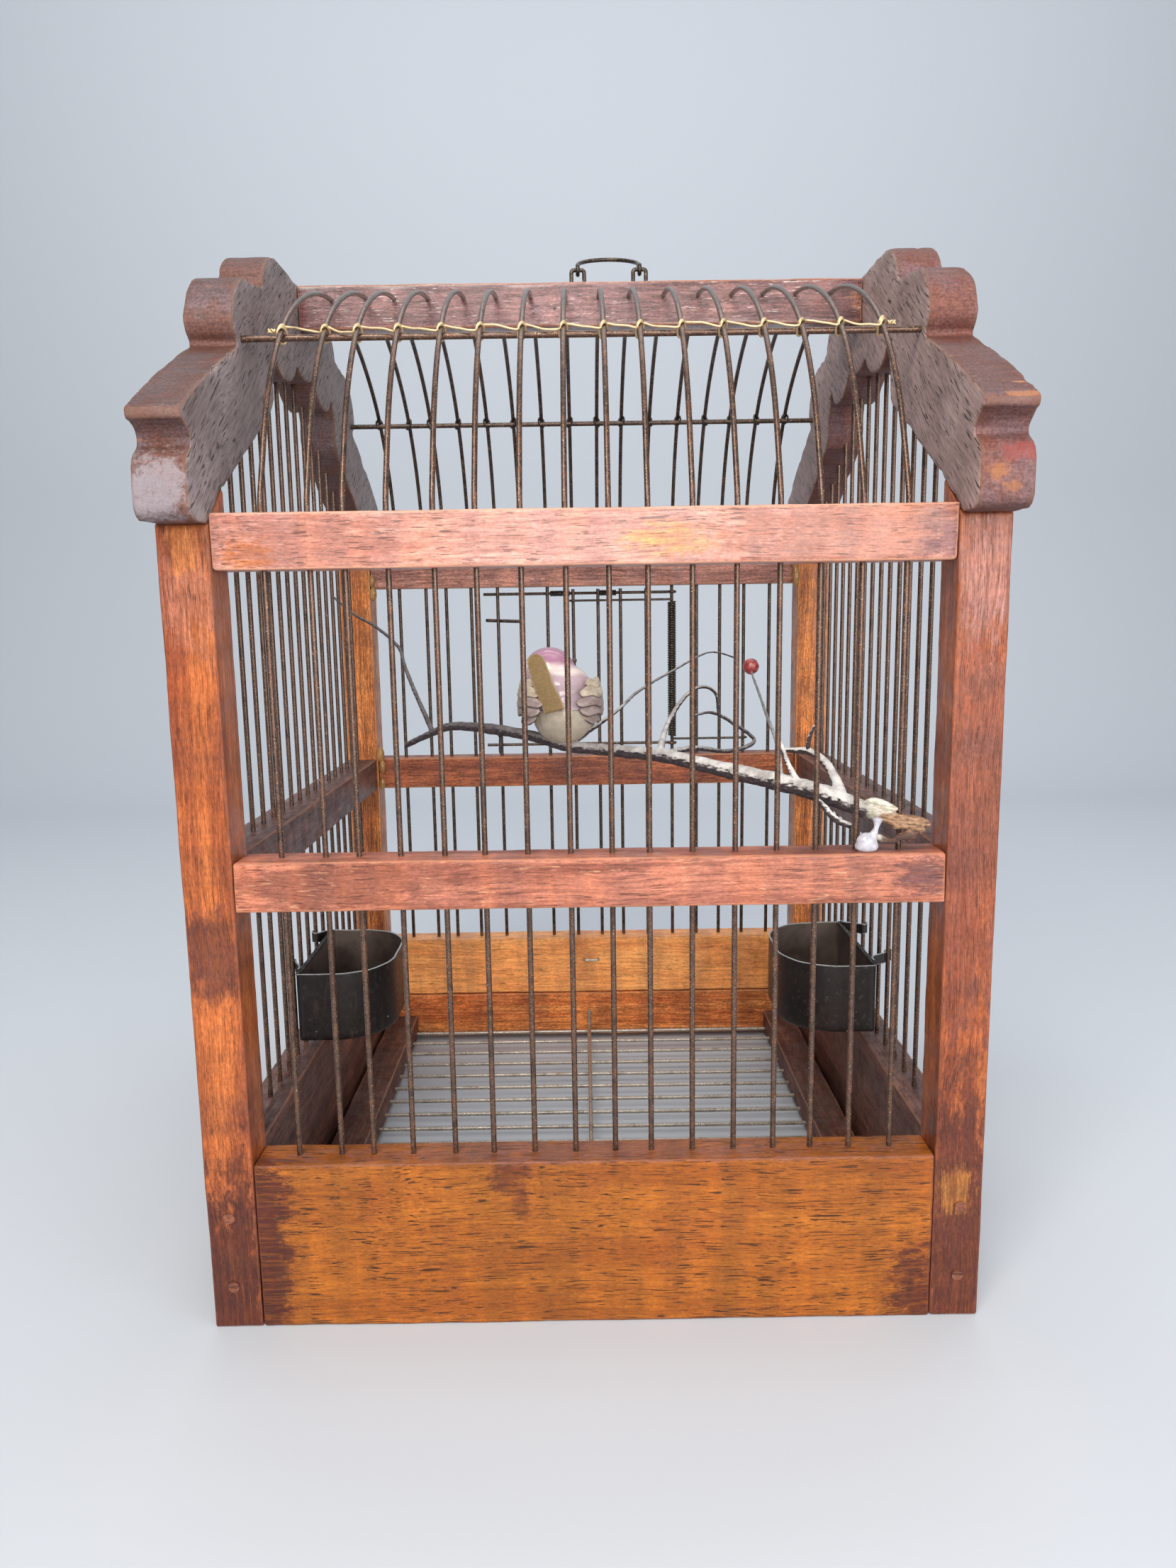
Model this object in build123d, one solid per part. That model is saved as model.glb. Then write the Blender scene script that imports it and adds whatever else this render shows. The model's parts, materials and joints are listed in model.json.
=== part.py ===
from build123d import *
import math
import os

# Table-top bird cage, in millimetres. +Z is up, the front faces -Y, the floor is Z = 0 and the
# origin is the middle of the footprint. The left side is at -X.

# Frame
WIDTH = 300.0
DEPTH = 302.0
POST = 19.0
BOARD = 17.0
BASE_TOP = 68.0
MID_LOW = 168.0
MID_TOP = 187.0
UPPER_LOW = 292.0
UPPER_TOP = 312.0
SIDE_RAIL = 18.0
FIT = 0.03

# Gables and ridge
GABLE_TOP = 428.0
RIDGE_LOW = 407.0
RIDGE_TOP = 427.0
RIDGE_HALF = 10.0

# Wires
BAR_R = 1.05
BAR_INSET = 8.5
BAR_SINK = 18.0
BAR_X = (-115.0, -98.5, -86.0, -70.5, -54.0, -39.0, -23.0, -7.0,
         8.5, 22.5, 38.5, 54.5, 70.0, 84.5, 99.5, 115.5)
SIDE_BARS = 17
SIDE_PITCH = 15.1
ROD_R = 1.3
ROD_Y = 98.4
ROD_Z = 381.9
ROD_GAP = 2.93
LASH_R = 0.45

# Hoops: each bar leaves the upper rail, leans in and arches over to the ridge
HOOP_BEND_R = 20.0
HOOP_LEAN = 68.0
HOOP_RUN = 20.0
HOOP_R1 = 119.1
HOOP_MID = 30.0
HOOP_R2 = 182.3
HOOP_END = 6.0
HOOP_SINK = 6.0

# Back door
DOOR_FIRST = 7
DOOR_HINGE = 11
DOOR_ANCHOR = 14
DOOR_TOP_Z = 288.0
DOOR_LOW_Z = 193.4
DOOR_WIRE_R = 0.9
DOOR_REACH = -63.0
UPRIGHT_LOW = 189.5
UPRIGHT_TOP = 290.5
SPRING_R = 0.7
SPRING_MEAN = 2.05
SPRING_LOW = 197.2
SPRING_TURNS = 58
LEG_TOP_Z = 283.4
LEG_LOW_Z = 196.2

# Handle on the ridge
BAIL_Z = 434.5
BAIL_X = (-1.0, 28.0)
BAIL_R = 0.95
BAIL_LEG = 13.0
BAIL_LIFT = 26.0
EYE_HALF = 3.0

# Feeder cups
CUP_LEFT_X = -136.5
CUP_RIGHT_X = 132.5
CUP_Y = -22.65
CUP_HALF = 36.0
CUP_DEPTH = 42.0
CUP_CORNER = 26.0
CUP_SHEET = 0.8
CUP_LOW = 80.0
CUP_TOP = 113.0
CLIP_LOW = 102.0
CLIP_TOP = 110.0

# Slide-out floor grate
RUNNER_IN = 113.0
RUNNER_OUT = 130.5
RUNNER_LOW = 3.2
RUNNER_TOP = 17.0
LEDGE_TOP = 3.0
GRATE_Z = 7.0
GRATE_COUNT = 16
GRATE_BACK_Y = 127.5
GRATE_PITCH = 16.3
END_BOARD_LOW = 2.5
END_BOARD_TOP = 31.0
UPPER_BOARD_LOW = 31.5

HALF_W = WIDTH / 2
HALF_D = DEPTH / 2
IN_W = HALF_W - POST
IN_D = HALF_D - POST
BAR_Y = HALF_D - BAR_INSET
SIDE_X = HALF_W - BAR_INSET


def box(x0, x1, y0, y1, z0, z1):
    mid = ((x0 + x1) / 2, (y0 + y1) / 2, (z0 + z1) / 2)
    return Pos(*mid) * Box(abs(x1 - x0), abs(y1 - y0), abs(z1 - z0))


def rod(start, end, radius):
    a = Vector(*start)
    b = Vector(*end)
    plane = Plane(origin=a, z_dir=b - a)
    return plane * Cylinder(radius, (b - a).length, align=(Align.CENTER, Align.CENTER, Align.MIN))


def taper(start, end, r0, r1):
    a = Vector(*start)
    b = Vector(*end)
    plane = Plane(origin=a, z_dir=b - a)
    return plane * Cone(r0, r1, (b - a).length, align=(Align.CENTER, Align.CENTER, Align.MIN))


def wire(edges, radius):
    path = Wire(edges)
    section = Plane(origin=path @ 0, z_dir=path % 0) * Circle(radius)
    return sweep(section, path=path)


def ring(centre, axis, mean, radius):
    return Plane(origin=centre, z_dir=axis) * Torus(mean, radius)


def turn(y, z, lean, radius, new_lean):
    """One arc of a hoop in the YZ plane: start point, middle point and end point."""
    points = []
    for share in (0.0, 0.5, 1.0):
        angle = lean + (new_lean - lean) * share
        dy = radius * (math.sin(math.radians(lean)) - math.sin(math.radians(angle)))
        dz = radius * (math.cos(math.radians(angle)) - math.cos(math.radians(lean)))
        points.append((0, y + dy, z + dz))
    return points


def hoop_edges(foot_z):
    """Centre line of one front wire at X = 0, from foot_z up over the hoop into the ridge."""
    bend = turn(-BAR_Y, UPPER_TOP, 90.0, HOOP_BEND_R, HOOP_LEAN)
    run_y = bend[2][1] + HOOP_RUN * math.cos(math.radians(HOOP_LEAN))
    run_z = bend[2][2] + HOOP_RUN * math.sin(math.radians(HOOP_LEAN))
    first = turn(run_y, run_z, HOOP_LEAN, HOOP_R1, HOOP_MID)
    second = turn(first[2][1], first[2][2], HOOP_MID, HOOP_R2, HOOP_END)
    end_y = second[2][1] + HOOP_SINK * math.cos(math.radians(HOOP_END))
    end_z = second[2][2] + HOOP_SINK * math.sin(math.radians(HOOP_END))
    return [Edge.make_line((0, -BAR_Y, foot_z), bend[0]),
            Edge.make_three_point_arc(*bend),
            Edge.make_line(bend[2], first[0]),
            Edge.make_three_point_arc(*first),
            Edge.make_three_point_arc(*second),
            Edge.make_line(second[2], (0, end_y, end_z))]


def hoop_ridge_point():
    edges = hoop_edges(BASE_TOP)
    return edges[4] @ 1


def to_back(shape):
    return mirror(shape, about=Plane.XZ)


def to_left(shape):
    return mirror(shape, about=Plane.YZ)


def group(shapes):
    return Compound(children=list(shapes))


# ---- wooden frame ----

def corner_post():
    """Front right post. Its top is bevelled to the lower edge of the gable."""
    outline = Polyline((0, -HALF_D, 0), (0, -IN_D, 0), (0, -IN_D, 322), (0, -HALF_D, 308), close=True)
    post = Pos(IN_W, 0, 0) * extrude(make_face(outline), amount=POST, dir=(1, 0, 0))
    return post


def peg_spots():
    return [(sx * 141.5, sy * HALF_D, z) for sx in (-1, 1) for sy in (-1, 1) for z in (17.5, 46.5)]


def pegs():
    out = []
    for x, y, z in peg_spots():
        toward = 1 if y > 0 else -1
        out.append(rod((x, y + toward * 0.4, z), (x, y - toward * 9.0, z), 2.2))
    return out


def peg_holes():
    out = []
    for x, y, z in peg_spots():
        toward = 1 if y > 0 else -1
        out.append(rod((x, y + toward, z), (x, y - toward * 9.05, z), 2.2 + FIT))
    return out


def bar_holes(z0, z1):
    """Holes for the front wires between two heights."""
    return [rod((x, -BAR_Y, z0), (x, -BAR_Y, z1), BAR_R + FIT) for x in BAR_X]


def front_base_board():
    board = box(-IN_W, IN_W, -HALF_D, -HALF_D + BOARD, 0, BASE_TOP)
    return board - bar_holes(BASE_TOP - BAR_SINK - FIT, BASE_TOP + 1)


def front_mid_rail():
    rail = box(-IN_W, IN_W, -HALF_D, -HALF_D + BOARD, MID_LOW, MID_TOP)
    return rail - bar_holes(MID_LOW - 1, MID_TOP + 1)


def front_upper_rail():
    rail = box(-IN_W, IN_W, -HALF_D, -HALF_D + BOARD, UPPER_LOW, UPPER_TOP)
    return rail - bar_holes(UPPER_LOW - 1, UPPER_TOP + 1)


def back_base_board():
    board = box(-IN_W, IN_W, HALF_D - BOARD, HALF_D, UPPER_BOARD_LOW, BASE_TOP)
    holes = [to_back(hole) for hole in bar_holes(BASE_TOP - BAR_SINK - FIT, BASE_TOP + 1)]
    legs = [rod((x, HALF_D - BOARD - 1, 54), (x, HALF_D - BOARD + 5.05, 54), 0.8 + FIT) for x in (-3.5, 5.5)]
    return board - (holes + legs)


def side_base_board():
    """Right side."""
    board = box(HALF_W - BOARD, HALF_W, -IN_D, IN_D, 0, BASE_TOP)
    return board - side_holes(BASE_TOP - BAR_SINK - FIT, BASE_TOP + 1)


def side_mid_rail():
    """Right side."""
    rail = box(HALF_W - SIDE_RAIL, HALF_W, -IN_D, IN_D, MID_LOW, MID_TOP)
    return rail - side_holes(MID_LOW - 1, MID_TOP + 1)


def side_ys():
    return [(i - (SIDE_BARS - 1) / 2) * SIDE_PITCH for i in range(SIDE_BARS)]


def side_holes(z0, z1):
    return [rod((SIDE_X, y, z0), (SIDE_X, y, z1), BAR_R + FIT) for y in side_ys()]


def side_bar_top(y):
    """Height of the blind end of a side bar in the gable."""
    reach = abs(y)
    if reach < 55:
        return 396.0
    if reach < 66:
        return 374.0
    return 358.5 - (reach - 66.0) * 0.553 + 7.0


GABLE_FRONT = [
    ((0, 428), (-42, 428)),
    ((-42, 428), (-57, 423), (-66, 410)),
    ((-66, 410), (-84, 407.5)),
    ((-84, 407.5), (-102, 400), (-108.5, 388)),
    ((-108.5, 388), (-107, 382.5), (-102, 379)),
    ((-102, 379), (-137, 362.5), (-168, 345)),
    ((-168, 345), (-170, 343), (-169.5, 340.5)),
    ((-169.5, 340.5), (-164, 337.5), (-161, 333)),
    ((-161, 333), (-166.5, 329), (-168.5, 322)),
    ((-168.5, 322), (-168.5, 313)),
    ((-168.5, 313), (-167, 309.5), (-163, 308)),
    ((-163, 308), (-151, 308)),
    ((-151, 308), (-132, 322)),
    ((-132, 322), (-66, 358.5)),
    ((-66, 358.5), (-59, 363.5), (-56.5, 371)),
    ((-56.5, 371), (-55.5, 381), (-51.5, 388)),
    ((-51.5, 388), (-46, 381.5), (-36, 379.5)),
    ((-36, 379.5), (-23, 382.5), (-15, 390)),
    ((-15, 390), (-9, 387.2), (0, 386.5)),
]


def gable_edge(points):
    spots = [(0, y, z) for y, z in points]
    if len(spots) == 2:
        return Edge.make_line(*spots)
    return Edge.make_three_point_arc(*spots)


def gable():
    """Right gable: a scroll-cut board with a scalloped arch, the same front and back."""
    front = [gable_edge(points) for points in GABLE_FRONT]
    back = [gable_edge([(-y, z) for y, z in points]) for points in GABLE_FRONT]
    face = make_face(front + back)
    board = Pos(IN_W, 0, 0) * extrude(face, amount=POST, dir=(1, 0, 0))
    cuts = [rod((SIDE_X, y, 300), (SIDE_X, y, side_bar_top(y)), BAR_R + FIT) for y in side_ys()]
    for side in (-1, 1):
        cuts.append(rod((IN_W - 1, side * ROD_Y, ROD_Z), (IN_W + 10.05, side * ROD_Y, ROD_Z), ROD_R + FIT))
    return board - cuts


def ridge_beam():
    beam = box(-IN_W, IN_W, -RIDGE_HALF, RIDGE_HALF, RIDGE_LOW, RIDGE_TOP)
    tip = hoop_ridge_point()
    dy = math.cos(math.radians(HOOP_END))
    dz = math.sin(math.radians(HOOP_END))
    cuts = []
    for x in BAR_X:
        start = (x, tip.Y - 4 * dy, tip.Z - 4 * dz)
        end = (x, tip.Y + (HOOP_SINK + 0.05) * dy, tip.Z + (HOOP_SINK + 0.05) * dz)
        hole = rod(start, end, BAR_R + 0.06)
        cuts += [hole, to_back(hole)]
    for centre in BAIL_X:
        for leg in (-EYE_HALF, EYE_HALF):
            cuts.append(rod((centre + leg, 0, 418.95), (centre + leg, 0, 430), BAIL_R + FIT))
    return beam - cuts


# ---- wires ----

def front_wires():
    full = wire(hoop_edges(BASE_TOP - BAR_SINK), BAR_R)
    return [Pos(x, 0, 0) * full for x in BAR_X]


def back_wires():
    """As the front, but the bars of the door's gap stop at the rails and one is bent aside."""
    full = to_back(wire(hoop_edges(BASE_TOP - BAR_SINK), BAR_R))
    hoop = to_back(wire(hoop_edges(UPPER_TOP - 12), BAR_R))
    low = rod((0, BAR_Y, BASE_TOP - BAR_SINK), (0, BAR_Y, MID_TOP - 1), BAR_R)
    out = []
    for i, x in enumerate(BAR_X):
        if i == 5:
            out += [Pos(x, 0, 0) * hoop, bent_bar(x)]
        elif DOOR_FIRST <= i < DOOR_HINGE:
            out += [Pos(x, 0, 0) * hoop, Pos(x, 0, 0) * low]
        else:
            out.append(Pos(x, 0, 0) * full)
    return out


def bent_bar(x):
    """Back bar cut short and turned to the left, outside its neighbour."""
    corner = (x, BAR_Y, 271)
    upright = rod((x, BAR_Y, BASE_TOP - BAR_SINK), corner, BAR_R)
    arm = rod(corner, (x - 23, BAR_Y + 5, 272), BAR_R)
    return upright + Pos(*corner) * Sphere(BAR_R) + arm


def side_wires():
    """Right side."""
    return [rod((SIDE_X, y, BASE_TOP - BAR_SINK), (SIDE_X, y, side_bar_top(y) - 0.05), BAR_R) for y in side_ys()]


def cross_rod():
    return rod((-IN_W - 10, -ROD_Y, ROD_Z), (IN_W + 10, -ROD_Y, ROD_Z), ROD_R)


def lash_loop(x, flip):
    """Oval loop of thin wire set slantwise round the rod and one hoop. The hoop crosses the rod at
    a lean of about 41 degrees."""
    lean = math.radians(40.6)
    along = Vector(0, math.cos(lean), math.sin(lean))
    outward = Vector(0, -math.sin(lean), math.cos(lean))
    slant = (Vector(flip, 0, 0) + along).normalized()
    half = 2.6
    far = 1.05 + LASH_R + 0.35 - half
    near = -(ROD_GAP + ROD_R + LASH_R + 0.3) + half
    centre = Vector(x, -ROD_Y, ROD_Z) + outward * ROD_GAP
    a = centre + outward * far + slant * half
    b = centre + outward * (far + half)
    c = centre + outward * far - slant * half
    d = centre + outward * near - slant * half
    e = centre + outward * (near - half)
    f = centre + outward * near + slant * half
    edges = [Edge.make_three_point_arc(a, b, c), Edge.make_line(c, d),
             Edge.make_three_point_arc(d, e, f), Edge.make_line(f, a)]
    return wire(edges, LASH_R)


def front_lashing():
    """One brass wire: a loop at every hoop, joined by straight leads that lie above the rod."""
    lead_y = -ROD_Y + 0.2
    lead_z = ROD_Z + 2.2
    out = []
    for i, x in enumerate(BAR_X):
        shape = lash_loop(x, 1)
        if i in (0, len(BAR_X) - 1):
            shape += lash_loop(x, -1)
        if i + 1 < len(BAR_X):
            shape += rod((x + 1.3, lead_y, lead_z), (BAR_X[i + 1] - 2.6, lead_y, lead_z), LASH_R)
        out.append(shape)
    return out


def back_ties():
    return [to_back(lash_loop(x, 1)) for x in BAR_X]


# ---- handle ----

def eye(centre):
    """Staple with its top bar along X."""
    x0 = centre - EYE_HALF
    x1 = centre + EYE_HALF
    r = 1.4
    k = r * (1 - math.sqrt(0.5))
    edges = [Edge.make_line((x0, 0, 419), (x0, 0, BAIL_Z - r)),
             Edge.make_three_point_arc((x0, 0, BAIL_Z - r), (x0 + k, 0, BAIL_Z - k), (x0 + r, 0, BAIL_Z)),
             Edge.make_line((x0 + r, 0, BAIL_Z), (x1 - r, 0, BAIL_Z)),
             Edge.make_three_point_arc((x1 - r, 0, BAIL_Z), (x1 - k, 0, BAIL_Z - k), (x1, 0, BAIL_Z - r)),
             Edge.make_line((x1, 0, BAIL_Z - r), (x1, 0, 419))]
    return wire(edges, BAIL_R)


def bail():
    """Wire handle: a small loop round each staple's top bar and an arch between them."""
    lift = math.radians(BAIL_LIFT)
    out = Vector(0, math.cos(lift), math.sin(lift))
    mean = 2 * BAIL_R + 0.08
    left = Vector(BAIL_X[0], 0, BAIL_Z)
    right = Vector(BAIL_X[1], 0, BAIL_Z)
    middle = Vector((BAIL_X[0] + BAIL_X[1]) / 2, 0, BAIL_Z)
    span = (BAIL_X[1] - BAIL_X[0]) / 2
    legs = [Edge.make_line(left + out * mean, left + out * BAIL_LEG),
            Edge.make_three_point_arc(left + out * BAIL_LEG, middle + out * (BAIL_LEG + span),
                                      right + out * BAIL_LEG),
            Edge.make_line(right + out * BAIL_LEG, right + out * mean)]
    handle = wire(legs, BAIL_R)
    for spot in (left, right):
        handle += ring(spot, (1, 0, 0), mean, BAIL_R)
    return handle


# ---- back door ----

def hinge_eye(z):
    x = BAR_X[DOOR_HINGE]
    mean = BAR_R + 0.08 + DOOR_WIRE_R
    return ring((x, BAR_Y, z), (0, 0, 1), mean, DOOR_WIRE_R)


def door_frame():
    """Two cross wires with eyes round the hinge bar. They run past the door to stop it closed."""
    x = BAR_X[DOOR_HINGE]
    y = BAR_Y + BAR_R + 0.08 + DOOR_WIRE_R
    out = []
    for z in (DOOR_TOP_Z, DOOR_LOW_Z):
        out.append(rod((x, y, z), (DOOR_REACH, y, z), DOOR_WIRE_R) + hinge_eye(z))
    return out


def door_bars():
    y = BAR_Y + 0.05
    out = []
    for i in range(DOOR_FIRST, DOOR_HINGE):
        out.append(rod((BAR_X[i], y, UPRIGHT_LOW), (BAR_X[i], y, UPRIGHT_TOP), BAR_R))
    return out


def door_header_wrap():
    """Close turns of thin wire round the top cross wire, between two uprights."""
    y = BAR_Y + BAR_R + 0.08 + DOOR_WIRE_R
    mean = DOOR_WIRE_R + 0.45 + FIT
    out = []
    for x0, count in ((-20.8, 13), (10.0, 11)):
        for k in range(count):
            out.append(ring((x0 + k * 0.95, y, DOOR_TOP_Z), (1, 0, 0), mean, 0.45))
    return out


def spring_coil():
    """Close-wound coil round the hinge bar, drawn as one ribbed tube."""
    step = (LEG_TOP_Z - SPRING_LOW - 0.9) / SPRING_TURNS
    x = BAR_X[DOOR_HINGE]
    inner = SPRING_MEAN - SPRING_R * 0.75
    edges = [Edge.make_line((inner, 0, 0), (SPRING_MEAN, 0, 0))]
    for k in range(SPRING_TURNS):
        a = (SPRING_MEAN, 0, k * step)
        b = (SPRING_MEAN + SPRING_R, 0, (k + 0.5) * step)
        c = (SPRING_MEAN, 0, (k + 1) * step)
        edges.append(Edge.make_three_point_arc(a, b, c))
    top = SPRING_TURNS * step
    edges.append(Edge.make_line((SPRING_MEAN, 0, top), (inner, 0, top)))
    edges.append(Edge.make_line((inner, 0, top), (inner, 0, 0)))
    tube = revolve(make_face(edges), axis=Axis.Z)
    return Pos(x, BAR_Y, SPRING_LOW) * tube


def spring_leg(x_from, x_to, z):
    """Straight spring leg inside the bars with a hook round the bar it ends at."""
    y = BAR_Y - SPRING_MEAN
    leg = rod((x_from, y, z), (x_to, y, z), SPRING_R)
    hook = ring((x_to, BAR_Y, z), (0, 0, 1), SPRING_MEAN, SPRING_R)
    away = 1 if x_to > x_from else -1
    gap = box(x_to - away * 4, x_to, BAR_Y - 1.2, BAR_Y + 4, z - 1, z + 1)
    return leg + (hook - gap)


# ---- feeder cups ----

def cup_outline(inset):
    half = CUP_HALF - inset
    deep = CUP_DEPTH - inset
    r = CUP_CORNER - inset
    k = r * (1 - math.sqrt(0.5))
    edges = [Edge.make_line((inset, -half, 0), (deep - r, -half, 0)),
             Edge.make_three_point_arc((deep - r, -half, 0), (deep - k, -half + k, 0), (deep, -half + r, 0)),
             Edge.make_line((deep, -half + r, 0), (deep, half - r, 0)),
             Edge.make_three_point_arc((deep, half - r, 0), (deep - k, half - k, 0), (deep - r, half, 0)),
             Edge.make_line((deep - r, half, 0), (inset, half, 0)),
             Edge.make_line((inset, half, 0), (inset, -half, 0))]
    return make_face(edges)


def cup():
    """D-shaped sheet cup with its flat back at X = 0."""
    outer = extrude(cup_outline(0.0), amount=CUP_TOP - CUP_LOW)
    inner = Pos(0, 0, CUP_SHEET) * extrude(cup_outline(CUP_SHEET), amount=CUP_TOP - CUP_LOW)
    return Pos(0, CUP_Y, CUP_LOW) * (outer - inner)


def cup_clips(flat_x):
    """Two sheet clips for a cup whose flat back is at -flat_x, each closed round a side bar."""
    out = []
    hole = BAR_R + 0.08
    for end in (-1, 1):
        bar_y = CUP_Y + end * SIDE_PITCH * 2.5
        corner_y = CUP_Y + end * (CUP_HALF - 0.4)
        tall = CLIP_TOP - CLIP_LOW
        loop = Pos(-SIDE_X, bar_y, CLIP_LOW + tall / 2) * Cylinder(hole + 0.8, tall)
        arm = box(-SIDE_X + 1.4, -flat_x - 0.02, bar_y - 0.4, bar_y + 0.4, CLIP_LOW, CLIP_TOP)
        foot = box(-flat_x - 0.82, -flat_x - 0.02, min(bar_y, corner_y) - 0.4, max(bar_y, corner_y) + 0.4,
                   CLIP_LOW, CLIP_TOP)
        clip = loop + arm + foot
        out.append(clip - Pos(-SIDE_X, bar_y, CLIP_LOW + tall / 2) * Cylinder(hole, tall + 2))
    return out


# ---- slide-out floor ----

def grate_ys():
    return [GRATE_BACK_Y - k * GRATE_PITCH for k in range(GRATE_COUNT)]


def floor_ledge():
    """Right ledge under the grate's runner."""
    return box(RUNNER_IN + 4, HALF_W - BOARD, -IN_D, IN_D, 0, LEDGE_TOP)


def floor_runner():
    """Right runner."""
    bar = box(RUNNER_IN, RUNNER_OUT, -133, HALF_D - BOARD, RUNNER_LOW, RUNNER_TOP)
    holes = [rod((RUNNER_IN - 1, y, GRATE_Z), (RUNNER_IN + 6.05, y, GRATE_Z), BAR_R + FIT) for y in grate_ys()]
    return bar - holes


def floor_wires():
    reach = RUNNER_IN + 6
    return [rod((-reach, y, GRATE_Z), (reach, y, GRATE_Z), BAR_R) for y in grate_ys()]


def floor_centre_wire():
    """Wire along the middle of the grate, turned up at the back."""
    x = -1.0
    z = GRATE_Z + 2 * BAR_R + 0.02
    r = 2.5
    k = r * (1 - math.sqrt(0.5))
    y = 131.5
    edges = [Edge.make_line((x, -128, z), (x, y - r, z)),
             Edge.make_three_point_arc((x, y - r, z), (x, y - k, z + k), (x, y, z + r)),
             Edge.make_line((x, y, z + r), (x, y, 20))]
    return wire(edges, BAR_R)


def floor_end_board():
    return box(-RUNNER_OUT, RUNNER_OUT, HALF_D - BOARD, HALF_D, END_BOARD_LOW, END_BOARD_TOP)


def board_staple():
    """Small wire staple in the back board, used to hook the centre wire."""
    y = HALF_D - BOARD - 3.5
    r = 1.2
    k = r * (1 - math.sqrt(0.5))
    edges = [Edge.make_line((-3.5, y + 8.5, 54), (-3.5, y + r, 54)),
             Edge.make_three_point_arc((-3.5, y + r, 54), (-3.5 + k, y + k, 54), (-3.5 + r, y, 54)),
             Edge.make_line((-3.5 + r, y, 54), (5.5 - r, y, 54)),
             Edge.make_three_point_arc((5.5 - r, y, 54), (5.5 - k, y + k, 54), (5.5, y + r, 54)),
             Edge.make_line((5.5, y + r, 54), (5.5, y + 8.5, 54))]
    return wire(edges, 0.8)


# ---- perch and ornament bird ----

BRANCH = [
    ((124.0, -148.0, 193.5), 4.6), ((112.5, -148.3, 196.5), 4.5), ((102.3, -137.0, 201.5), 4.4),
    ((90.7, -125.0, 205.0), 4.2), ((76.0, -113.0, 208.0), 3.9), ((61.0, -100.0, 210.0), 3.7),
    ((45.0, -88.0, 212.5), 3.5), ((31.0, -76.0, 214.5), 3.4), ((13.0, -64.0, 215.0), 3.2),
    ((-9.0, -50.0, 216.0), 3.1), ((-22.0, -42.0, 219.0), 3.0), ((-43.0, -28.0, 221.5), 2.8),
    ((-65.0, -12.0, 221.7), 2.3), ((-77.0, -4.0, 217.5), 1.9), ((-92.0, 6.0, 210.5), 1.5),
]

TWIGS = [
    [((-76.5, -4.0, 218.0), 1.4), ((-84.6, 5.0, 234.5), 1.2), ((-91.8, 14.0, 250.0), 1.1),
     ((-96.0, 20.0, 260.0), 1.0), ((-109.0, 30.0, 270.0), 0.9), ((-121.5, 38.0, 276.5), 0.8),
     ((-134.0, 46.0, 286.0), 0.6)],
    [((97.5, -131.0, 204.0), 2.2), ((96.0, -118.0, 212.0), 2.1), ((93.5, -112.0, 216.5), 1.9),
     ((88.9, -106.0, 219.3), 1.6), ((82.9, -100.0, 219.0), 1.3), ((78.9, -98.0, 219.6), 0.9)],
    [((88.9, -106.0, 219.3), 1.2), ((89.2, -108.0, 225.0), 1.0), ((90.7, -110.0, 230.0), 0.7)],
    [((83.5, -119.0, 207.0), 1.8), ((79.9, -116.0, 213.5), 1.4), ((77.2, -112.0, 221.5), 1.1),
     ((76.1, -110.0, 226.0), 0.7)],
    [((31.0, -76.0, 215.0), 1.8), ((35.3, -60.0, 225.2), 1.3), ((44.1, -50.0, 237.0), 1.1),
     ((53.0, -42.0, 241.6), 1.0), ((59.8, -40.0, 238.1), 0.9), ((61.2, -40.0, 227.6), 0.8)],
    [((31.0, -76.0, 215.0), 1.6), ((49.0, -50.0, 214.2), 1.4), ((67.9, -30.0, 210.0), 1.2),
     ((81.2, -20.0, 213.4), 1.1), ((70.9, -20.0, 222.1), 1.0), ((60.0, -25.0, 227.9), 0.9),
     ((48.3, -40.0, 227.8), 0.7)],
    [((77.0, -113.0, 208.0), 1.4), ((84.3, -60.0, 218.0), 1.0), ((87.8, 0.0, 230.5), 0.8),
     ((89.8, 40.0, 240.5), 0.7), ((90.0, 48.0, 243.0), 0.6)],
    [((-9.0, -50.0, 216.0), 1.4), ((12.0, -48.0, 230.0), 0.9), ((24.3, -30.0, 239.0), 0.8),
     ((42.7, -10.0, 247.6), 0.7), ((62.3, 10.0, 255.2), 0.6), ((79.6, 30.0, 251.0), 0.5)],
    [((-41.0, -29.0, 221.0), 1.3), ((-41.5, -27.0, 210.0), 0.9)],
]


def limb(knots):
    shape = None
    for (start, r0), (end, r1) in zip(knots, knots[1:]):
        piece = taper(start, end, r0, r1) + Pos(*end) * Sphere(r1)
        shape = piece if shape is None else shape + piece
    return shape


def perch_branch():
    shape = limb(BRANCH)
    for knots in TWIGS:
        shape += limb(knots)
    return shape


def glue_blob(branch):
    """Hot glue between the branch and the front mid rail."""
    blob = Pos(105, -144.2, MID_TOP) * Cone(4.1, 2.6, 12, align=(Align.CENTER, Align.CENTER, Align.MIN))
    return largest(blob - branch)


def largest(shape):
    return max(shape.solids(), key=lambda solid: solid.volume)


def ellipsoid(centre, radii, tilt):
    ball = Solid.make_sphere(1.0)
    grown = scale(ball, by=radii)
    return Pos(*centre) * Rot(*tilt) * grown


def bird_body():
    body = ellipsoid((-12, -42, 235.0), (14.5, 17.0, 15.5), (0, 0, 0))
    head = ellipsoid((-11, -32, 250.5), (11.0, 11.0, 10.5), (0, 0, 0))
    return body + head


def bird_tail():
    """Flat strip that stands up and back from the rump."""
    return Pos(-18.5, -60.5, 244.0) * Rot(-20, -19, 0) * Box(11.0, 1.6, 27.0)


def bird_wing(body):
    """Right wing as a thick leaf over the flank of the body."""
    leaf = ellipsoid((2.6, -45, 236.2), (6.0, 12.0, 11.5), (0, 10, 4))
    return largest(leaf - body)


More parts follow.
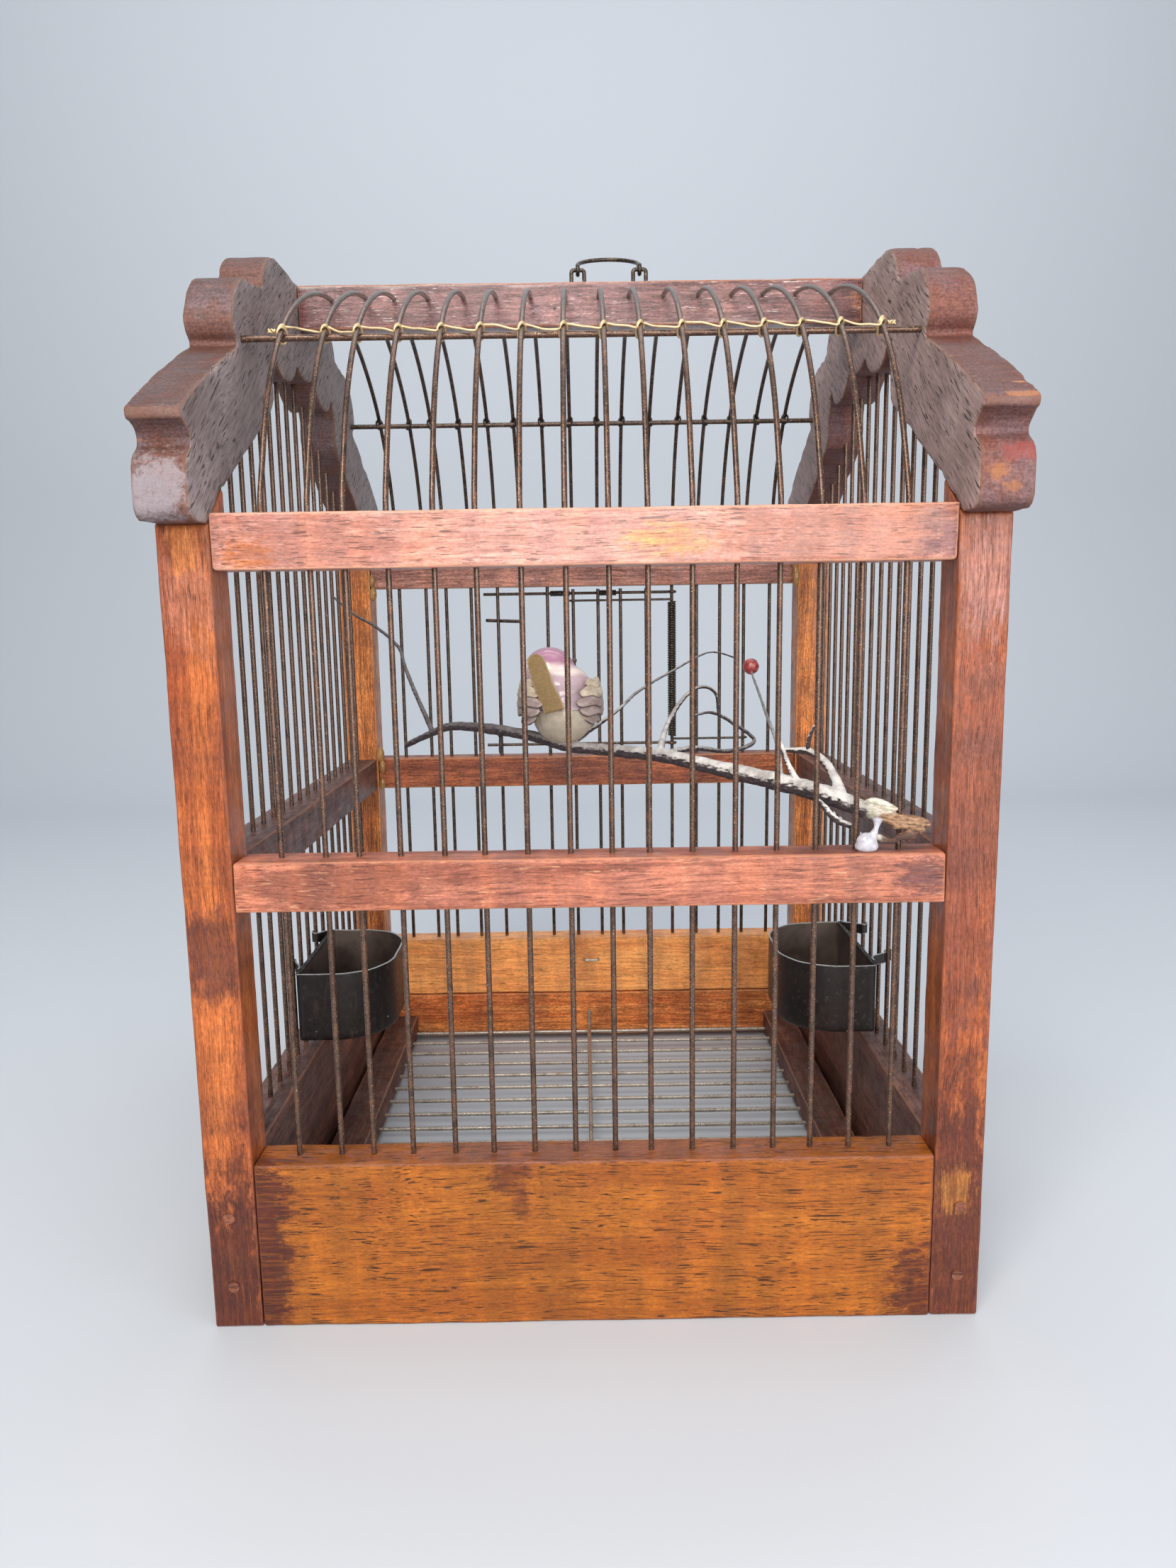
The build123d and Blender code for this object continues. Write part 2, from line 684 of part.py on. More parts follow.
def berry():
    return Pos(90.2, 51.5, 245.5) * Sphere(4.6)


def save(shape, name):
    if isinstance(shape, (list, tuple)):
        solids = []
        for piece in shape:
            solids += piece.solids()
        shape = Compound(children=solids)
    export_step(shape, "parts/" + name + ".step")


os.makedirs("parts", exist_ok=True)

holes = peg_holes()
front_right = corner_post() - holes
front_left = to_left(corner_post()) - holes
save(front_left, "corner_post_front_left")
save(front_right, "corner_post_front_right")
save(to_back(corner_post()) - holes, "corner_post_back_right")
save(to_left(to_back(corner_post())) - holes, "corner_post_back_left")
save(pegs(), "post_pegs")
save(front_base_board(), "front_base_board")
save(back_base_board(), "back_base_board")
save(side_base_board(), "right_base_board")
save(to_left(side_base_board()), "left_base_board")
save(front_mid_rail(), "front_mid_rail")
save(to_back(front_mid_rail()), "back_mid_rail")
save(side_mid_rail(), "right_mid_rail")
save(to_left(side_mid_rail()), "left_mid_rail")
save(front_upper_rail(), "front_upper_rail")
save(to_back(front_upper_rail()), "back_upper_rail")
right_gable = gable()
save(right_gable, "gable_right")
save(to_left(right_gable), "gable_left")
save(ridge_beam(), "ridge_beam")
save(front_wires(), "front_wires")
save(back_wires(), "back_wires")
save(side_wires(), "right_wires")
save([to_left(bar) for bar in side_wires()], "left_wires")
save(cross_rod(), "front_cross_rod")
save(to_back(cross_rod()), "back_cross_rod")
save(front_lashing(), "front_lashing")
save(back_ties(), "back_ties")
save([eye(centre) for centre in BAIL_X], "bail_staples")
save(bail(), "bail")
save(door_frame(), "door_cross_wires")
save(door_bars(), "door_uprights")
save(door_header_wrap(), "door_header_wrap")
top_leg = spring_leg(BAR_X[DOOR_HINGE], BAR_X[DOOR_FIRST], LEG_TOP_Z)
save(spring_coil(), "door_spring_coil")
save(top_leg, "door_spring_top_leg")
save(spring_leg(BAR_X[DOOR_HINGE], BAR_X[DOOR_ANCHOR], LEG_LOW_Z), "door_spring_low_leg")
left_cup = Pos(CUP_LEFT_X, 0, 0) * cup()
right_cup = to_left(Pos(-CUP_RIGHT_X, 0, 0) * cup())
save(left_cup, "feeder_cup_left")
save(right_cup, "feeder_cup_right")
save(cup_clips(-CUP_LEFT_X), "cup_clips_left")
save([to_left(clip) for clip in cup_clips(CUP_RIGHT_X)], "cup_clips_right")
save([floor_ledge(), to_left(floor_ledge())], "floor_ledges")
save(floor_runner(), "floor_runner_right")
save(to_left(floor_runner()), "floor_runner_left")
save(floor_wires(), "floor_wires")
save(floor_centre_wire(), "floor_centre_wire")
save(floor_end_board(), "floor_end_board")
save(board_staple(), "board_staple")
branch = perch_branch()
body = bird_body() - branch
save(branch, "perch_branch")
save(glue_blob(branch), "glue_blob")
save(body, "bird_body")
save(bird_tail() - body, "bird_tail")
right_wing = bird_wing(bird_body())
left_wing = mirror(right_wing, about=Plane.YZ.offset(-12.0))
save(left_wing - branch, "bird_wing_left")
save(right_wing - branch, "bird_wing_right")
save(berry() - branch, "berry")
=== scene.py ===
import json
import math

import bpy
import numpy as np
from mathutils import Matrix, Vector, noise


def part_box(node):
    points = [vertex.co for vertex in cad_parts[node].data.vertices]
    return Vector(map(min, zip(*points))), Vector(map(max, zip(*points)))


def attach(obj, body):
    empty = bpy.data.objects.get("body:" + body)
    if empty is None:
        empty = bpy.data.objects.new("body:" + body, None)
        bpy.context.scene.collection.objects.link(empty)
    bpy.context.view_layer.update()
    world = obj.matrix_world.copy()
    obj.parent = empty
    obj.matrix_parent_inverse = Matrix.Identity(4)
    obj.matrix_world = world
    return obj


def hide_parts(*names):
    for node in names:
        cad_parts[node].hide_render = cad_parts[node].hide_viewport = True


# A small wooden bird cage with a domed wire roof. Shapes and shader patterns are in millimetres.
# Lights, the stage and bump depths are in metres. +Z is up, the front is at -Y, and the origin is
# on the floor under the middle.

noise.seed_set(1)  # without a seed, noise_vector follows the clock
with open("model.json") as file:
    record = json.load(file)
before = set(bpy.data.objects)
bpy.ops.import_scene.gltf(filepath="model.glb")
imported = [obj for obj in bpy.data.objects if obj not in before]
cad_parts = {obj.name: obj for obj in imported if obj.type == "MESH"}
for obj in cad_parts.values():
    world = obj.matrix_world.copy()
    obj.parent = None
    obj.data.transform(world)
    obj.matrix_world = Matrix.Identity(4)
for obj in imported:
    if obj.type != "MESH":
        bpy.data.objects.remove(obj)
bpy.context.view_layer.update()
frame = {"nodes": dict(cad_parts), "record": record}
NODES = frame["nodes"]
MM = 0.001
SENSOR = 36.0
FOCAL_SHARE = 1502.84 / 1659  # focal length as a share of the picture's width
SIDE_WIRE_X = 141.5
MID_RAIL_TOP = 187.0
BIRD_X, BIRD_Y = -12.0, -44.0
BERRY = np.array((90.2, 51.5, 245.5))
BODY_OF = {n: b for b, ns in frame["record"]["behaviour"]["bodies"].items() for n in ns}


def limits(node):
    low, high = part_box(node)
    return np.array(low) * 1000, np.array(high) * 1000


def placed(name, data):
    thing = bpy.data.objects.new(name, data)
    bpy.context.scene.collection.objects.link(thing)
    return thing


# ---------------------------------------------------------------- camera, light and stage

def make_camera():
    yaw, pitch, roll = -0.0025, -0.1586, 0.0151
    turn = Matrix.Rotation(yaw, 3, "Z") @ Matrix.Rotation(pitch, 3, "X") @ Matrix.Rotation(roll, 3, "Y")
    lens = bpy.data.cameras.new("camera")
    lens.sensor_fit = "HORIZONTAL"
    lens.sensor_width = SENSOR
    lens.lens = SENSOR * FOCAL_SHARE
    lens.clip_start = 0.01
    cam = placed("camera", lens)
    base = Matrix(((1, 0, 0), (0, 0, -1), (0, 1, 0)))
    place = (turn @ base).to_4x4()
    place.translation = Vector((-1.12, -531.86, 275.31)) * MM
    cam.matrix_world = place
    bpy.context.scene.camera = cam


def area_light(name, spot, aim, size, power, colour):
    data = bpy.data.lights.new(name, "AREA")
    data.shape = "RECTANGLE"
    data.size, data.size_y = size
    data.energy = power
    data.color = colour
    lamp = placed(name, data)
    lamp.location = spot
    lamp.rotation_mode = "QUATERNION"
    lamp.rotation_quaternion = (Vector(aim) - Vector(spot)).to_track_quat("-Z", "Y")


def make_stage():
    """A paper sweep: flat floor, a quarter bend and a wall behind, with soft lights."""
    near, bend_start, bend, top, half_width, steps = -2.5, 1.0, 0.5, 3.2, 3.5, 16
    profile = [(near, 0.0), (bend_start, 0.0)]
    for i in range(1, steps + 1):
        a = math.radians(90 * i / steps)
        profile.append((bend_start + bend * math.sin(a), bend - bend * math.cos(a)))
    profile.append((bend_start + bend, top))
    verts = []
    for y, z in profile:
        verts += [(-half_width, y, z), (half_width, y, z)]
    faces = [(2 * i, 2 * i + 1, 2 * i + 3, 2 * i + 2) for i in range(len(profile) - 1)]
    mesh = bpy.data.meshes.new("stage")
    mesh.from_pydata(verts, [], faces)
    mesh.shade_smooth()
    mat = bpy.data.materials.new("stage_paper")
    mat.use_nodes = True
    shader = mat.node_tree.nodes["Principled BSDF"]
    shader.inputs["Base Color"].default_value = (0.56, 0.585, 0.62, 1)
    shader.inputs["Roughness"].default_value = 0.85
    mesh.materials.append(mat)
    stage = placed("stage", mesh)
    world = bpy.data.worlds.new("world")
    world.use_nodes = True
    back = world.node_tree.nodes["Background"]
    back.inputs["Color"].default_value = (0.8, 0.88, 1.0, 1)
    back.inputs["Strength"].default_value = 0.36
    bpy.context.scene.world = world
    area_light("key", (-0.35, -1.15, 1.25), (0, 0, 0.22), (0.8, 0.6), 19, (1.0, 0.96, 0.9))
    area_light("low", (0.25, -1.45, 0.42), (0, 0.1, 0.12), (0.9, 0.4), 12, (1.0, 0.95, 0.89))
    area_light("fill", (1.0, -1.0, 0.6), (0, 0, 0.2), (0.8, 0.8), 6, (0.92, 0.96, 1.0))
    area_light("top", (0.1, 0.2, 1.6), (0, 0, 0.3), (1.2, 0.9), 7, (0.94, 0.97, 1.0))
    area_light("wall", (0.0, 0.75, 1.7), (0, 1.5, 0.5), (2.4, 0.5), 8, (0.92, 0.97, 1.0))
    bpy.context.scene.view_settings.view_transform = "Standard"


# ---------------------------------------------------------------- shader building

class Paint:
    """A principled material with short calls for the nodes that feed it."""

    def __init__(self, name, seed=0.0):
        self.mat = bpy.data.materials.new(name)
        self.mat.use_nodes = True
        self.tree = self.mat.node_tree
        self.shader = self.tree.nodes["Principled BSDF"]
        coords = self.tree.nodes.new("ShaderNodeTexCoord").outputs["Object"]
        self.place = self.vec("SCALE", coords, scale=1000.0)
        self.where = self.vec("ADD", self.place, (seed * 31.7, seed * 17.3, seed * 23.9))

    def put(self, socket, value):
        if hasattr(value, "links"):
            self.tree.links.new(value, socket)
        elif isinstance(value, (tuple, list)) and len(value) == 3 and len(socket.default_value) == 4:
            socket.default_value = (*value, 1.0)
        else:
            socket.default_value = value

    def node(self, kind, sockets, **settings):
        """The outputs of a new shader node with its settings made and its sockets fed."""
        made = self.tree.nodes.new("ShaderNode" + kind)
        for key, value in settings.items():
            setattr(made, key, value)
        for socket, value in sockets.items():
            self.put(made.inputs[socket], value)
        return made.outputs

    def vec(self, op, a, b=None, scale=None):
        sockets = {key: value for key, value in ((0, a), (1, b), ("Scale", scale)) if value is not None}
        outputs = self.node("VectorMath", sockets, operation=op)
        return outputs["Value" if op in ("LENGTH", "DOT_PRODUCT") else "Vector"]

    def math(self, op, a, b=0.0, clamp=False):
        return self.node("Math", {0: a, 1: b}, operation=op, use_clamp=clamp)[0]

    def mul(self, a, b):
        return self.math("MULTIPLY", a, b)

    def add(self, a, b, clamp=False):
        return self.math("ADD", a, b, clamp)

    def less(self, a, b):
        return self.math("SUBTRACT", a, b)

    def stretch(self, where, ratios):
        return self.vec("MULTIPLY", where, ratios)

    def noise(self, where, scale, detail=3.0, rough=0.55, colour=False):
        """Soft noise. The scale is per millimetre."""
        sockets = {"Vector": where, "Scale": scale, "Detail": detail, "Roughness": rough}
        return self.node("TexNoise", sockets)["Color" if colour else "Fac"]

    def cells(self, where, scale):
        return self.node("TexVoronoi", {"Vector": where, "Scale": scale}, feature="F1")["Distance"]

    def step(self, value, low, high, out_low=0.0, out_high=1.0):
        sockets = {"Value": value, "From Min": low, "From Max": high, "To Min": out_low, "To Max": out_high}
        return self.node("MapRange", sockets, interpolation_type="SMOOTHSTEP")["Result"]

    def mix(self, share, a, b, blend="MIX"):
        return self.node("Mix", {0: share, 6: a, 7: b}, data_type="RGBA", blend_type=blend)[2]

    def ramp(self, value, low, high, a, b):
        """Colour a below the low value, b above the high one, and between them a smooth change."""
        return self.mix(self.step(value, low, high), a, b)

    def tinted(self, colour, factor, share=1.0):
        return self.mix(share, colour, factor, "MULTIPLY")

    def part(self, vector, axis):
        return self.node("SeparateXYZ", {0: vector})[axis]

    def facing(self, axis):
        """How much the surface faces along one axis of the object, as a number from -1 to 1."""
        return self.part(self.node("NewGeometry", {})["Normal"], axis)

    def attribute(self, name):
        return self.node("Attribute", {}, attribute_name=name)["Fac"]

    def spot(self, centre, radii, where=None, ragged=1.5):
        """A mask of a ragged patch round a point, with one radius for each axis."""
        away = self.vec("SUBTRACT", self.place, centre)
        away = self.vec("DIVIDE", away, radii)
        span = self.vec("LENGTH", away)
        fray = self.noise(where or self.where, 0.22, 7.0, 0.78)
        span = self.add(span, self.mul(self.less(fray, 0.5), ragged * 2))
        return self.step(span, 1.0, 0.45)

    def finish(self, colour, rough, height=None, bump=0.3, depth=0.0003, metal=None, **fixed):
        self.put(self.shader.inputs["Base Color"], colour)
        self.put(self.shader.inputs["Roughness"], rough)
        if metal is not None:
            self.put(self.shader.inputs["Metallic"], metal)
        if height is not None:
            bumped = self.node("Bump", {"Strength": bump, "Distance": depth, "Height": height})
            self.put(self.shader.inputs["Normal"], bumped["Normal"])
        for key, value in fixed.items():
            self.put(self.shader.inputs[key.replace("_", " ")], value)
        return self.mat


def wood(name, axis, light, dark, seed, worn=(0.5, 0.25, 0.13), stain=(0.07, 0.03, 0.03), stain_amount=0.5,
         wear=0.6, pores=0.6, flecks=0.0, fleck_colour=(0.72, 0.52, 0.44), scratches=0.0, dust=0.0,
         gloss=0.35, spots=(), streaks=0.8, coat=0.05, shine=0.35, calm=0.0, open_grain=0.0):
    """Stained and varnished timber with its grain along one axis."""
    p = Paint(name, seed)
    wave = p.noise(p.where, 0.011, 2.0, 0.5, colour=True)
    sway = p.vec("SCALE", p.vec("SUBTRACT", wave, (0.5, 0.5, 0.5)), scale=9.0)
    bent = p.vec("ADD", p.where, sway)

    def along(ratio, source=bent):
        squeeze = [1.0, 1.0, 1.0]
        squeeze[axis] = 1.0 / ratio
        return p.stretch(source, tuple(squeeze))

    band = p.noise(along(14.0), 0.1, 3.0, 0.6)
    grain = p.noise(along(22.0), 0.8, 5.0, 0.66)
    fibre = p.noise(along(14.0), 2.3, 3.0, 0.7)
    grit = p.noise(along(2.2), 1.25, 4.0, 0.78)
    colour = p.ramp(band, 0.32, 0.68, dark, light)
    broad = p.noise(p.where, 0.024, 4.0, 0.62)
    colour = p.mix(p.step(broad, 0.5, 0.72, 0.0, stain_amount), colour, stain)
    for centre, radii, tint, share in spots:
        mask = p.mul(p.spot(centre, radii, along(2.6)), share)
        mask = p.mul(mask, p.step(grain, 0.3, 0.58, 0.45, 1.0))
        colour = p.mix(mask, colour, tint)
    # Painted sheen: the sheen layer multiplies a cross-grain play of light into the colour, bluish where
    # dark and warm where bright.
    flip = [0.12, 0.12, 0.12]
    flip[axis] = 1.0
    sheen = p.noise(p.stretch(p.where, tuple(flip)), 0.07, 3.0, 0.6)
    for layer, low, high, shade, bright, share in (
            (grain, 0.36, 0.66, (0.5, 0.4, 0.36), (1.22, 1.2, 1.18), streaks),
            (fibre, 0.36, 0.64, (0.74, 0.69, 0.66), (1.18, 1.18, 1.17), 1.0 - calm),
            (grit, 0.37, 0.63, (0.68, 0.62, 0.6), (1.26, 1.26, 1.26), 1.0 - calm),
            (sheen, 0.32, 0.7, (0.83, 0.84, 0.9), (1.18, 1.12, 1.02), 1.0)):
        colour = p.tinted(colour, p.ramp(layer, low, high, shade, bright), share)
    pore = p.step(p.noise(along(24.0), 2.3, 1.0, 0.3), 0.625 - open_grain, 0.665 - open_grain)
    breaks = p.step(p.noise(p.where, 0.11, 3.0, 0.6), 0.4 - 3 * open_grain, 0.54 - 3 * open_grain)
    pore = p.mul(pore, breaks)
    colour = p.mix(p.mul(pore, pores), colour, tuple(c * 0.16 for c in dark))
    if flecks:
        fleck = p.step(p.noise(along(9.0), 1.25, 2.0, 0.6), 0.62, 0.7)
        patchy = p.step(p.noise(p.where, 0.035, 3.0, 0.6), 0.4, 0.62)
        colour = p.mix(p.mul(p.mul(fleck, patchy), flecks), colour, fleck_colour)
    scar = None
    if scratches:
        tilt = [0.5, 0.5, 0.5]
        tilt[axis] = 0.12
        scraped = p.vec("ADD", p.where, p.vec("SCALE", sway, scale=1.5))
        scar = p.step(p.noise(p.stretch(scraped, tuple(tilt)), 1.1, 4.0, 0.75), 0.62, 0.7)
        colour = p.mix(p.mul(scar, scratches), colour, tuple(min(1, c * 1.5 + 0.03) for c in light))
    edge = p.attribute("edge")
    chew = p.noise(p.where, 0.33, 4.0, 0.65)
    rub = p.step(p.add(edge, p.mul(chew, 1.1)), 1.05, 1.32)
    colour = p.mix(p.mul(rub, wear), colour, worn)
    if dust:
        up = p.step(p.facing(2), 0.3, 0.95)
        powder = p.mul(up, p.step(p.noise(p.where, 0.12, 5.0, 0.7), 0.35, 0.75))
        colour = p.mix(p.mul(powder, dust), colour, (0.3, 0.23, 0.2))
    rough = p.step(p.noise(p.where, 0.1, 4.0, 0.6), 0.3, 0.75, gloss - 0.04, gloss + 0.22)
    rough = p.add(rough, p.mul(rub, 0.18), clamp=True)
    height = p.add(p.mul(grain, 0.35), p.mul(fibre, 0.18))
    height = p.less(height, p.mul(pore, 0.6))
    height = p.add(height, p.mul(p.noise(p.where, 0.3, 3.0, 0.6), 0.45))
    height = p.add(height, p.mul(grit, 0.3))
    if scar is not None:
        height = p.less(height, p.mul(scar, 0.3))
    return p.finish(colour, rough, height, 0.6, 0.0004, Coat_Weight=coat, Coat_Roughness=0.25,
                    Specular_IOR_Level=shine)


def weathered(name, seed):
    """Grey-brown gable board: sawn faces with slanting marks, filed and stained scroll edges."""
    p = Paint(name, seed)
    wave = p.noise(p.where, 0.02, 2.0, 0.5, colour=True)
    sway = p.vec("SCALE", p.vec("SUBTRACT", wave, (0.5, 0.5, 0.5)), scale=8.0)
    bent = p.vec("ADD", p.where, sway)
    slant = p.vec("DOT_PRODUCT", bent, (0.0, 0.8, 0.6))
    across = p.vec("DOT_PRODUCT", bent, (0.0, -0.6, 0.8))
    stroke = p.node("CombineXYZ", {0: p.part(bent, 0), 1: p.mul(slant, 0.07), 2: across})[0]
    saw = p.noise(stroke, 0.95, 5.0, 0.72)
    pit = p.step(p.noise(stroke, 1.5, 1.0, 0.4), 0.63, 0.67)
    tone = p.noise(p.where, 0.028, 4.0, 0.6)
    face = p.ramp(tone, 0.3, 0.7, (0.205, 0.152, 0.142), (0.315, 0.255, 0.248))
    face = p.tinted(face, p.ramp(saw, 0.35, 0.65, (0.7, 0.67, 0.66), (1.22, 1.21, 1.2)))
    # Painted light: the right gable's faces are lightened, standing in for light from the left falling on
    # its inner face.
    right = p.step(p.part(p.place, 0), -60.0, 60.0)
    face = p.tinted(face, p.mix(right, (1, 1, 1), (1.48, 1.32, 1.25)))
    face = p.mix(p.mul(pit, 0.9), face, (0.018, 0.012, 0.011))
    filed = p.noise(p.stretch(p.where, (0.06, 1.0, 1.0)), 0.95, 3.0, 0.6)
    blotch = p.noise(p.where, 0.045, 4.0, 0.65)
    side = p.ramp(blotch, 0.4, 0.62, (0.11, 0.044, 0.031), (0.105, 0.062, 0.06))
    side = p.tinted(side, p.ramp(filed, 0.35, 0.66, (0.82, 0.8, 0.79), (1.12, 1.1, 1.08)))
    pebble = p.noise(p.where, 0.9, 5.0, 0.75)
    side = p.tinted(side, p.ramp(pebble, 0.36, 0.64, (0.66, 0.62, 0.6), (1.26, 1.26, 1.26)))
    # Painted sheen: edge faces that face the front are lightened and turned bluer, standing in for sky light
    # on the end blocks.
    front = p.step(p.facing(1), -0.45, -0.95)
    side = p.tinted(side, p.mix(front, (1, 1, 1), (1.45, 1.6, 1.75)))
    # Painted light on the right gable's edges as well.
    side = p.tinted(side, p.mix(right, (1, 1, 1), (1.18, 1.0, 0.98)))
    red = p.step(p.noise(p.where, 0.075, 4.0, 0.65), 0.58, 0.68)
    side = p.mix(p.mul(red, 0.65), side, (0.15, 0.036, 0.028))
    bare = p.step(p.noise(p.stretch(p.where, (0.35, 1.0, 1.6)), 0.085, 5.0, 0.7), 0.66, 0.71)
    side = p.mix(p.mul(bare, 0.75), side, (0.48, 0.19, 0.065))
    flat = p.step(p.math("ABSOLUTE", p.facing(0)), 0.55, 0.85)
    colour = p.mix(flat, side, face)
    edge = p.attribute("edge")
    chew = p.noise(p.where, 0.3, 4.0, 0.65)
    rub = p.step(p.add(edge, p.mul(chew, 1.0)), 1.05, 1.35)
    colour = p.mix(p.mul(rub, 0.45), colour, (0.2, 0.095, 0.058))
    for centre, radii, tint, share in (((-141, -166, 318), (14, 12, 14), (0.36, 0.33, 0.36), 0.55),
                                       ((-131.5, -158, 311), (3, 7, 4), (0.34, 0.33, 0.31), 0.5),
                                       ((137, -168.5, 320), (4.5, 5, 3.4), (0.42, 0.16, 0.05), 0.55),
                                       ((142, -168.5, 315), (4.2, 5, 2.2), (0.4, 0.15, 0.048), 0.5),
                                       ((146, -168.5, 327), (9, 5, 5), (0.27, 0.055, 0.045), 0.7),
                                       ((146, -168, 344.5), (9, 4, 1.6), (0.44, 0.18, 0.07), 0.6)):
        colour = p.mix(p.mul(p.spot(centre, radii), share), colour, tint)
    up = p.step(p.facing(2), 0.35, 0.95)
    powder = p.mul(up, p.step(p.noise(p.where, 0.14, 5.0, 0.7), 0.38, 0.72))
    colour = p.mix(p.mul(powder, 0.05), colour, (0.22, 0.18, 0.17))
    rough = p.step(tone, 0.3, 0.7, 0.5, 0.68)
    height = p.add(p.mul(saw, 0.8), p.mul(filed, 0.3))
    height = p.less(height, p.mul(pit, 0.7))
    height = p.add(height, p.mul(pebble, p.step(flat, 0.0, 1.0, 0.5, 0.12)))
    return p.finish(colour, rough, height, 0.6, 0.0004, Specular_IOR_Level=0.38)


# ---------------------------------------------------------------- mesh building

def add_piece(name, verts, faces, mat, body, nodes=(), slot=None, edge=None):
    """Links a mesh given in millimetres as a piece that rides on a body."""
    mesh = bpy.data.meshes.new(name)
    mesh.from_pydata([tuple(v) for v in np.asarray(verts, float) * MM], [],
                     [tuple(int(i) for i in f) for f in faces])
    mesh.validate()
    mesh.update()
    mesh.shade_smooth()
    if edge is not None:
        layer = mesh.attributes.new("edge", "FLOAT", "POINT")
        layer.data.foreach_set("value", np.asarray(edge, np.float32))
    mesh.materials.append(mat)
    piece = placed(name, mesh)
    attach(piece, body)
    if nodes:
        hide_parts(*nodes)
    return piece


def wander(point, scale, seed):
    """Smooth three-way noise from -1 to 1."""
    spot = Vector(point) * scale + Vector((seed * 7.31, seed * 3.17, seed * 5.77))
    return np.array(noise.noise_vector(spot))


def rough_at(point, scale, seed):
    spot = Vector(point) * scale + Vector((seed * 7.31, seed * 3.17, seed * 5.77))
    return noise.noise(spot)


def axis_marks(low, high, rim, pitch):
    """Positions along one side of a board, closer together at its edges."""
    near = [low, low + rim * 0.3, low + rim * 0.65, low + rim, low + rim * 2.2]
    far = [high - (v - low) for v in reversed(near)]
    inner = far[0] - near[-1]
    count = max(1, int(round(inner / pitch)))
    middle = [near[-1] + inner * i / count for i in range(1, count)]
    return near + middle + far


def board_shell(low, high, rim, pitch):
    """A box's surface as one closed grid. Returns points and faces."""
    marks = [axis_marks(low[i], high[i], min(rim, (high[i] - low[i]) / 5), pitch) for i in range(3)]
    index = {}
    points = []
    faces = []

    def point(i, j, k):
        key = (i, j, k)
        if key not in index:
            index[key] = len(points)
            points.append((marks[0][i], marks[1][j], marks[2][k]))
        return index[key]

    sizes = [len(m) - 1 for m in marks]
    for axis in range(3):
        a, b = [(1, 2), (2, 0), (0, 1)][axis]
        for side in (0, sizes[axis]):
            for i in range(sizes[a]):
                for j in range(sizes[b]):
                    quad = []
                    for di, dj in ((0, 0), (1, 0), (1, 1), (0, 1)):
                        spot = [0, 0, 0]
                        spot[axis] = side
                        spot[a] = i + di
                        spot[b] = j + dj
                        quad.append(point(*spot))
                    faces.append(quad if side else quad[::-1])
    return np.array(points, float), faces


def board(name, node, mat, seed, rim=1.0, pitch=3.2, dents=0.22, chips=0.8, slot=None, shape=None):
    """A sawn board over a CAD board: rounded and chipped edges, slightly uneven faces."""
    low, high = limits(node)
    points, faces = board_shell(low, high, rim, pitch)
    out = np.empty_like(points)
    edge = np.empty(len(points))
    for n, p in enumerate(points):
        chip = chips * (0.5 + 0.9 * rough_at(p, 0.045, seed))
        span = rim * (0.55 + chip + 0.35 * rough_at(p, 0.3, seed + 9))
        span = min(max(span, 0.25), rim * 1.9, *((high - low) / 2.2))
        inner = np.clip(p, low + span, high - span)
        away = p - inner
        gap = np.linalg.norm(away)
        normal = away / gap if gap > 1e-9 else np.zeros(3)
        q = inner + normal * span
        sink = dents * (0.5 + 0.5 * rough_at(p, 0.05, seed + 3))
        out[n] = q - normal * max(sink, 0.0)
        gaps = np.sort(np.minimum(p - low, high - p))
        edge[n] = max(0.0, 1.0 - gaps[1] / (rim * 2.2))
    if shape is not None:
        out = shape(out)
    return add_piece(name, out, faces, mat, BODY_OF[node], [node], slot, edge)


def ring_faces(rings, count, flip=False):
    """Quads between neighbouring rings of points."""
    faces = []
    for i in range(rings - 1):
        for k in range(count):
            a, b = i * count + k, i * count + (k + 1) % count
            quad = (a, b, b + count, a + count)
            faces.append(quad[::-1] if flip else quad)
    return faces


def sheet_faces(rows, cols, flip=False):
    """Faces of a closed sheet made of two layers of rows by columns points."""
    size = rows * cols
    faces = []
    for i in range(rows - 1):
        for a in range(i * cols, (i + 1) * cols - 1):
            quad = (a, a + 1, a + cols + 1, a + cols)
            turned = quad[:1] + quad[:0:-1]
            first, second = (turned, quad) if flip else (quad, turned)
            faces += [first, tuple(v + size for v in second)]
    rim = list(range(cols)) + [i * cols + cols - 1 for i in range(1, rows)]
    rim += [(rows - 1) * cols + c for c in range(cols - 2, -1, -1)]
    rim += [i * cols for i in range(rows - 2, 0, -1)]
    for a, b in zip(rim, rim[1:] + rim[:1]):
        if flip:
            a, b = b, a
        faces.append((a, a + size, b + size, b))
    return faces


